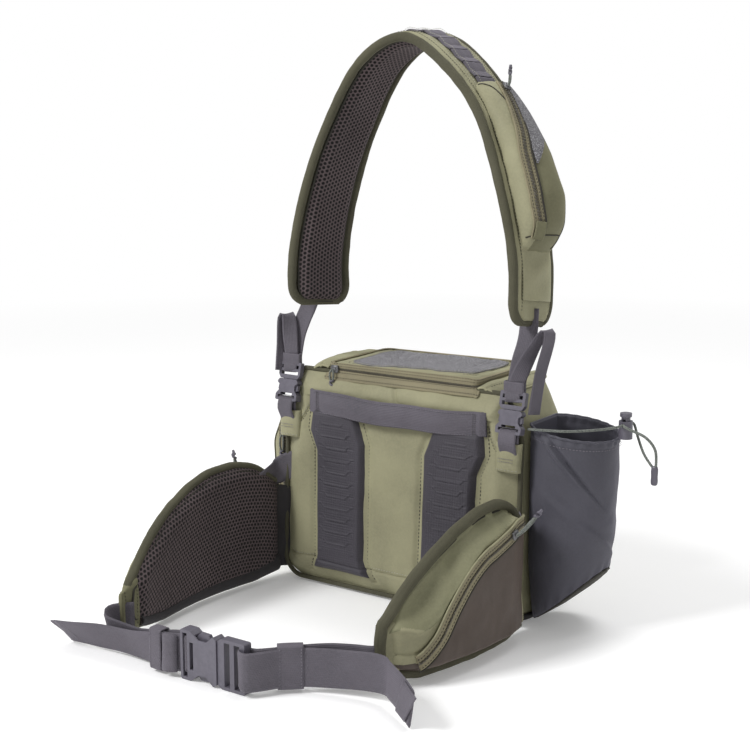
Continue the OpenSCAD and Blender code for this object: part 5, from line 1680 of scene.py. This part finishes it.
def build_daisy_chain():
    """Webbing sewn down at intervals, so that it lifts into a row of slots."""
    body, n, width = "shoulder_strap", 260, 15.0
    s = np.linspace(0.40, 0.672, n)
    slots = np.linspace(0.455, 0.645, 7)
    reach = (slots[1] - slots[0]) * 0.46
    lift = 2.2 * sum(np.clip(1 - np.abs(s - c) / reach, 0, 1) ** 0.8 for c in slots)
    rows = np.array([strap_point(s, u * width,
                                 6.6 + lift * (0.85 + 0.15 * abs(u)) + 0.15 * math.cos(u * 9))
                     for u in np.linspace(-1, 1, 23)]).transpose(1, 0, 2)
    # The lifted lips are cut open at each slot.
    parts, start = [], 0
    for cut in [int(np.argmin(np.abs(s - c))) for c in slots] + [n]:
        strip = slice(start, min(cut, n))
        parts.append(slab_part(rows[strip], -strap_normal(s[strip])[:, None] * 1.7))
        start = cut + 1
    merge("daisy_chain_web", parts, WEBBING, body, ["strap_daisy_chain"])
    slits = []
    for c in slots:
        x = np.linspace(-1, 1, 9) * width * 0.98
        strip = np.array([strap_point(np.full(9, c + d), x, np.full(9, 5.9))
                          for d in (-0.0045, 0.0045)])
        up = strap_normal(np.array([c]))[0] * 0.5
        slits.append(slab_part(strip + up, -up))
    merge("daisy_chain_shadow", slits, DARK, body)
    for side in (-1, 1):
        stitch(strap_point(s, side * (width - 1.2), 8.0 + lift), strap_normal(s), body, PALE_THREAD,
               pitch=2.8)
    seam = np.linspace(0.42, 0.655, 90)
    for side in (-1, 1):
        stitch(strap_point(seam, side * 20.5, 6.2), strap_normal(seam), body, PALE_THREAD)
    for c in (slots[:-1] + slots[1:]) / 2:
        x = np.linspace(-1, 1, 12) * (width - 1.5)
        stitch(strap_point(np.full(12, c), x, np.full(12, 7.1)), strap_normal(np.array([c]))[0],
               body, WEB_THREAD, pitch=1.9)


def strap_normal(s):
    return strap_frame(s)[3]


def rim_of(n, m):
    """Point numbers round the rim of a sheet of n by m points."""
    return ([*range(m)] + [i * m + m - 1 for i in range(1, n)]
            + [(n - 1) * m + j for j in range(m - 2, -1, -1)]
            + [i * m for i in range(n - 2, 0, -1)])


def slab_part(rows, offset):
    """A sheet with a copy of itself at an offset, joined along the rim, as a part for merge()."""
    verts, faces, uv = skin(rows)
    back, _, back_uv = skin(rows + offset)
    base, rim = len(verts), rim_of(*rows.shape[:2])
    turned = [tuple(q + base for q in f[::-1]) for f in faces]
    edge = [(a, a + base, b + base, b) for a, b in zip(rim, rim[1:] + rim[:1])]
    return np.concatenate([verts, back]), faces + turned + edge, np.concatenate([uv, back_uv])


POCKET_ENDS = (0.655, 0.89)
POCKET_HALF = 29.0
POCKET_D = 42.0


def pocket_s(t):
    return mix(POCKET_ENDS[0], POCKET_ENDS[1], np.asarray(t, float))


def pocket_depth(t):
    return POCKET_D * lookup(t, [(0, 0.3), (0.2, 0.52), (0.45, 0.86), (0.68, 1), (0.84, 0.8),
                                 (0.94, 0.45), (1, 0.1)])


def pocket_section(t, shrink=0.0):
    """Outline of the strap pocket at t in (width, up), from its near foot to its far foot."""
    depth, w, base = float(pocket_depth(t)), POCKET_HALF - shrink, 4.0
    pts = np.array([[-w, 0], [-w - 0.5, 0.3], [-w, 0.55], [-w * 0.62, 0.9], [-w * 0.2, 0.985],
                    [w * 0.25, 1], [w * 0.62, 0.9], [w, 0.55], [w + 0.5, 0.3], [w, 0]])
    pts[:, 1] = base + depth * pts[:, 1]
    pts[:, 1] -= shrink * (pts[:, 1] > base + 0.1)
    return relaxed(at_lengths(pts, np.linspace(0, lengths(pts)[-1], 61)), 3)


def pocket_rise(q):
    """Height of the pocket's skin at q across it, as a share of its depth."""
    return lookup(np.abs(q), [(0, 1), (0.6, 0.9), (1, 0.55)])


def zip_across(t):
    """The zip starts near the middle of the pocket's top and sweeps to its near edge."""
    return lookup(t, [(0.05, 0.1), (0.2, -0.3), (0.3, -0.55), (0.45, -0.82), (0.7, -0.9),
                      (0.92, -0.74)])


def pocket_skin(t, q, off=0.0):
    t, q = np.broadcast_arrays(np.asarray(t, float), np.asarray(q, float))
    return strap_point(pocket_s(t), q * POCKET_HALF, 4.4 + pocket_depth(t) * pocket_rise(q) + off)


def build_strap_pocket():
    body = "shoulder_strap"
    ts = np.linspace(0, 1, 61)
    rows = []
    for t in ts:
        width, up = pocket_section(t, 1.2).T
        rows.append(strap_point(np.full(len(up), float(pocket_s(t))), width, up))
    foot = strap_point(pocket_s(ts), 0, 4.2)

    def held(points):
        near = nearest(foot, points)
        return ((points - foot[near]) * strap_normal(pocket_s(ts)[near])).sum(1) < 1.4

    soft = cloth_rows("strap_pocket_cover", np.array(rows), cap=2.4, pin=held, voxel=4.0)
    finish_piece(soft, [OLIVE, OLIVE_SHADE], body, ["strap_pocket"])
    # The outer side of the pocket is a darker cloth: faces past the zip's line take it.
    centres = face_centres(soft)
    line_s = np.linspace(*POCKET_ENDS, 200)
    line_s = line_s[nearest(strap_point(line_s, 0, 0), centres)]
    p, _, a, _ = strap_frame(line_s)
    share = np.clip((line_s - POCKET_ENDS[0]) / (POCKET_ENDS[1] - POCKET_ENDS[0]), 0, 1)
    outer = ((centres - p) * a).sum(1) > zip_across(share) * POCKET_HALF
    soft.data.polygons.foreach_set("material_index", outer.astype(int))

    # Zip from the middle of the top to the near edge.
    t = np.linspace(0.05, 0.92, 90)
    path, normal = on_mesh(soft, pocket_skin(t, zip_across(t), 1.0), 0.6)
    path, normal = relaxed(path, 8), unit(relaxed(normal, 8))
    along = unit(np.gradient(path, axis=0))
    width = unit(np.cross(along, normal))
    webbing("strap_pocket_zip_tape", path, 10.5, 1.5, width, body, TAPE, ["strap_pocket_zip"],
            columns=18)
    merge("strap_pocket_coil", coil_parts(path + normal * 1.0, normal, width=3.2), COIL, body)
    for off in (-4.0, 4.0):
        stitch(path + width * off + normal * 0.8, normal, body)
    # The dark tube along one edge of the zip tape paints the shadow under the band's raised edge.
    # The tube on the other edge has the tape's colour.
    for off, letter, mat in ((-5.9, "a", BINDING_DARK), (5.9, "b", TAPE)):
        tube(f"strap_pocket_zip_edge_{letter}", path + width * off, 1.1, mat, body,
             up=(0.1, 1, 0.1))
    # Knit triangle beside the upper half of the zip.
    t = np.linspace(0.05, 0.52, 44)[:, None]
    near = zip_across(t) + 0.19
    far = np.maximum(lookup(t, [(0.05, 0.62), (0.2, 0.45), (0.4, 0.2), (0.52, -0.6)]), near + 0.02)
    rows = pocket_skin(t, mix(near, far, np.linspace(0, 1, 18)[None]), 1.0)
    rows = on_mesh(soft, rows.reshape(-1, 3), 0.8)[0].reshape(rows.shape)
    sheet("strap_pocket_knit_patch", rows, KNIT, body, ["strap_pocket_knit"], thick=1.2)
    tube("strap_pocket_knit_edge", rows[:, -1], 0.9, OLIVE_SHADE, body, up=(0.1, 1, 0.1))
    # Seams: over the near side, along the far side, and across the foot.
    at = line([[0.035, -1.0], [0.05, -0.8], [0.09, -0.58], [0.15, -0.5], [0.19, -0.46]], 40)
    width_foot, up_foot = pocket_section(0.90)[6:-6].T
    for name, points, radius, up in (
            ("side", pocket_skin(at[:, 0], at[:, 1]), 0.75, (0.4, 0.4, 0.6)),
            ("far", pocket_far_line([(0.0, 0.95), (0.2, 0.9), (0.5, 0.86), (0.8, 0.86),
                                     (0.97, 0.8)]),
             0.8, (0.4, 0.4, 0.6)),
            ("foot", strap_point(float(pocket_s(0.90)), width_foot, up_foot), 0.75, (0.1, 0.1, 1))):
        tube(f"strap_pocket_{name}_seam", resample(on_mesh(soft, points, 0.05)[0], 2.0), radius,
             BINDING_DARK, body, up=up, sides=6)
    # Tab at the zip's lower end, and the sleeve that carries on down the strap.
    tab = [path[-6] + normal[-6] * (1.2 + 2.4 * math.sin(k * 3.0)) + along[-6] * mix(-9, 9, k)
           for k in np.linspace(0, 1, 16)]
    webbing("strap_pocket_tab", tab, 11, 1.8, width[-6], body, OLIVE_SHADE, dense=False)
    s = np.linspace(0.86, 0.955, 50)[:, None] * np.ones((1, 40))
    k = np.linspace(-1, 1, 40)[None] * np.ones((50, 1))
    crown = np.cos(k * math.pi / 2)
    fold = 0.8 * np.sin((s - 0.86) * 150 + 2.2 * k) * crown
    sheet("strap_sleeve", strap_point(s, k * 27.5, 5.6 + 5.4 * crown ** 0.55 + fold), OLIVE, body,
          thick=1.6, flip=True)
    at, out, down = path[5] + normal[5] * 3.2, normal[5], along[5]
    zip_pull("strap_pocket_pull", at, out, down, "strap_zip_pull", ["strap_pocket_slider"], hang=15,
             loop_axis=out * 0.5 - down * 0.3 + [0, -0.3, -0.2])


def pocket_far_line(points):
    """A line over the far side of the pocket, through (t, share of its height)."""
    out = []
    for t, share in line(points, 60):
        half = pocket_section(float(np.clip(t, 0, 1)))[::-1][:31]
        width, up = (np.interp(np.clip(share, 0, 1) * 22, np.arange(31), column)
                     for column in half.T)
        out.append(strap_point(float(pocket_s(t)), width, up))
    return np.array(out).reshape(-1, 3)


# ------------------------------------------------------------------ strap ends

TILT = math.radians(13.0)


def anchor_point(side, x, y, z):
    """Point in the tilted frame of a strap socket: x across, y out of the pack, z up the strap."""
    low, high = box_mm("strap_socket_left" if side < 0 else "strap_socket_right")
    c, s = math.cos(TILT), math.sin(TILT)
    return np.array([(low[0] + high[0]) / 2 + x, low[1] + 4.5 * c - 4 * s + y * c + z * s,
                     low[2] + 4.5 * s - 4 * c - y * s + z * c])


def build_anchors():
    """Webbing from the panel's seam up through each socket's bar and back down."""
    u = np.linspace(-1, 1, 25)
    for side, name in ((-1, "left"), (1, "right")):
        a = lambda x, y, z: anchor_point(side, x, y, z)
        x = a(0, 0, 0)[0]
        front = [[x - side * 2, float(panel_y(172)) - 7.6, 172],
                 [x - side, float(panel_y(182)) - 9.6, 183],
                 a(0, -3.4, -6), a(0, -4.2, 2), a(0, -3.4, 7.6)]
        back = [a(0, -3.4, 7.6), a(0, 0.4, 8.6), a(0, 3.0, 6), a(0, 2.6, -2),
                [x - side, float(panel_y(186)) - 5.4, 184],
                [x - side * 2, float(panel_y(174)) - 5.2, 174]]
        for part, path, node in (("front", front, [f"strap_anchor_{name}"]), ("back", back, [])):
            webbing(f"strap_anchor_{name}_{part}", line(path, 40), 20, 2.0, (1, 0, 0), "pack",
                    replaces=node)
        x = x - side * 2
        tab = []
        for k in np.linspace(0, 1, 14):
            z = mix(167, 196, k)
            y = float(panel_y(z)) - 5.0 - 8.4 * np.cos(u * math.pi / 2) ** 0.3
            tab.append(np.stack([x + u * mix(13.5, 14.5, k), y, z - u ** 2 * (1 - k)], 1))
        sheet(f"strap_anchor_{name}_patch", tab, OLIVE, "pack", thick=-1.6, flip=True)
        stitch(tab[1][2:-2] + [0, -0.3, 0], (0, -1, 0), "pack", PALE_THREAD)
        y = float(panel_y(174)) - 13.8
        for z in (177.5, 180.5):
            stitch(np.linspace([x - 8, y, z], [x + 8, y, z], 10), (0, -1, 0), "pack", WEB_THREAD,
                   pitch=2.0)


def build_strap_webs():
    """Webbing from each plug up to the strap's pad, its hanging tail and a keeper."""
    body = "shoulder_strap"
    for side, name in ((-1, "left"), (1, "right")):
        a = lambda x, y, z: anchor_point(side, x, y, z)
        bar = [a(0, -2.0, 36), a(0, -3.6, 40.5), a(0, -3.4, 45), a(0, -1.8, 49.5)]
        behind = [a(0, 2.2, 37), a(0, 3.4, 41), a(0, 3.0, 46), a(0, 1.4, 50)]
        if side < 0:
            rise = [[-140, -65, 276], [-136, -60, 294], [-131, -56, 309], [-124, -53, 330]]
            tail = [[-143, -74, 276], [-146, -72, 294], [-150, -70, 301], [-154, -71, 294],
                    [-154, -73, 264], [-153, -77, 238]]
            turn = [(0.9, 0.5, 0), (0.6, 0.9, 0)] + [(0.5, 1, 0)] * 4
        else:
            rise = [[143, -66, 276], [146, -61, 294], [147, -58, 309], [146, -55, 330]]
            tail = [[150, -74, 272], [162, -71, 296], [173, -69, 312], [177, -70, 304],
                    [170, -74, 268], [166, -78, 228]]
            turn = [(0.8, 0.5, 0), (0.4, 0.9, 0)] + [(0.3, 1, 0)] * 4
        rise = line(behind + rise, 60)
        webbing(f"strap_web_{name}_up", rise, 20, 1.9, (1, 0.12, 0), body,
                replaces=[f"strap_web_{name}"], wobble=0.15)
        webbing(f"strap_web_{name}_tail", line(bar + tail, 70), 16.5, 1.7,
                line([(1, 0.1, 0)] * 4 + turn, 70), body, wobble=0.25)
        around(f"strap_web_{name}_keeper", rise[26], 23.5, 7.0, 12, body)


def around(name, centre, wide, deep, long, body):
    """A narrow band of webbing round a strap that runs upward."""
    x, y = squircle(full_turn(64), 6.0)
    rows = [centre + np.stack([wide / 2 * x, deep / 2 * y - 2.5, np.full(64, t * long / 2)], 1)
            for t in np.linspace(-1, 1, 9)]
    sheet(name, np.array(rows), WEBBING, body, wrap=True, thick=1.4)


# ------------------------------------------------------------------ build everything

build_bag()
build_back_panel()
build_pads()
build_handle()
build_front()
build_side_pocket()
build_lid()
build_main_zip()
build_gussets()
build_bottle_pocket()
build_cord()
build_wing(-1)
build_wing(1)
build_wing_tips()
build_wing_roots()
build_belt()
build_strap()
build_anchors()
build_strap_webs()
build_stitches()

for node in ("waist_socket", "waist_plug", "waist_plug_prongs"):
    soften(node, 0.9, segments=3)
for node in ("strap_socket_left", "strap_socket_right", "strap_plug_left", "strap_plug_right",
             "strap_plug_prongs"):
    soften(node, 0.6)
for node, mat in (("cord_lock_body", BUCKLE), ("cord_lock_button", BUCKLE),
                  ("cord_lock_spring", STEEL)):
    soften(node, 0.35, mat)

# ------------------------------------------------------------------ floor, light and camera

plane = mesh_object("floor", [[-9000, -9000, 0], [9000, -9000, 0], [9000, 9000, 0],
                              [-9000, 9000, 0]], [(0, 1, 2, 3)])
g = Graph("pale_floor")
shader = g.node("BsdfPrincipled")
shader.inputs["Base Color"].default_value = (0.9, 0.9, 0.9, 1)
shader.inputs["Roughness"].default_value = 0.7
shader.inputs["Emission Color"].default_value = (1, 1, 1, 1)
shader.inputs["Emission Strength"].default_value = 0.16
place = g.node("TexCoord").outputs["Object"]
g.put(shader.inputs["Normal"],
      g.node("Bump", Strength=0.05, Distance=0.001, Height=g.noise(place, 60.0)).outputs[0])
glow = g.node("Emission")
glow.inputs["Strength"].default_value = 1.0
# The floor fades into the white backdrop away from the object.
reach = g.node("VectorMath", operation="LENGTH")
g.put(reach.inputs[0], place)
fade = g.node("MixShader")
g.put(fade.inputs[0], g.spread(reach.outputs["Value"], 0.75, 2.4))
g.put(fade.inputs[1], shader.outputs[0])
g.put(fade.inputs[2], glow.outputs[0])
g.put(g.node("OutputMaterial").inputs[0], fade.outputs[0])
plane.data.materials.append(g.mat)

scene = bpy.context.scene
scene.view_settings.view_transform = "Standard"
world = bpy.data.worlds.new("studio")
scene.world = world
world.use_nodes = True
tree = world.node_tree
soft = tree.nodes["Background"]
soft.inputs[0].default_value = (1.0, 1.0, 1.0, 1)
soft.inputs[1].default_value = 0.46
# The camera sees a white backdrop; the object is lit by a dimmer one.
backdrop = tree.nodes.new("ShaderNodeBackground")
backdrop.inputs[0].default_value = (1.0, 1.0, 1.0, 1)
choose = tree.nodes.new("ShaderNodeMixShader")
rays = tree.nodes.new("ShaderNodeLightPath")
tree.links.new(rays.outputs["Is Camera Ray"], choose.inputs[0])
tree.links.new(soft.outputs[0], choose.inputs[1])
tree.links.new(backdrop.outputs[0], choose.inputs[2])
tree.links.new(choose.outputs[0], tree.nodes["World Output"].inputs[0])


def light(name, at, to, size, power):
    data = bpy.data.lights.new(name, "AREA")
    data.energy, data.size = power, size
    obj = bpy.data.objects.new(name, data)
    obj.location = at
    obj.rotation_euler = (Vector(to) - Vector(at)).to_track_quat("-Z", "Y").to_euler()
    scene.collection.objects.link(obj)


light("key", (-1.1, -2.1, 2.1), (0, -0.1, 0.2), 0.9, 68)
light("fill", (2.4, -1.4, 1.1), (0, 0, 0.25), 1.6, 5)
light("top", (0.3, 0.8, 2.6), (0, 0, 0.2), 1.5, 30)

data = bpy.data.cameras.new("camera")
data.lens, data.sensor_width = 71.04, 36.0
data.clip_end = 30
camera = bpy.data.objects.new("camera", data)
scene.collection.objects.link(camera)
AZIMUTH, ELEVATION, DISTANCE = math.radians(35), math.radians(11), 1.53
target = Vector((-0.0035, -0.1104, 0.2544))
offset = Vector((math.sin(AZIMUTH) * math.cos(ELEVATION), -math.cos(AZIMUTH) * math.cos(ELEVATION),
                 math.sin(ELEVATION)))
camera.location = target + offset * DISTANCE
camera.rotation_euler = (-offset).to_track_quat("-Z", "Y").to_euler()
scene.camera = camera
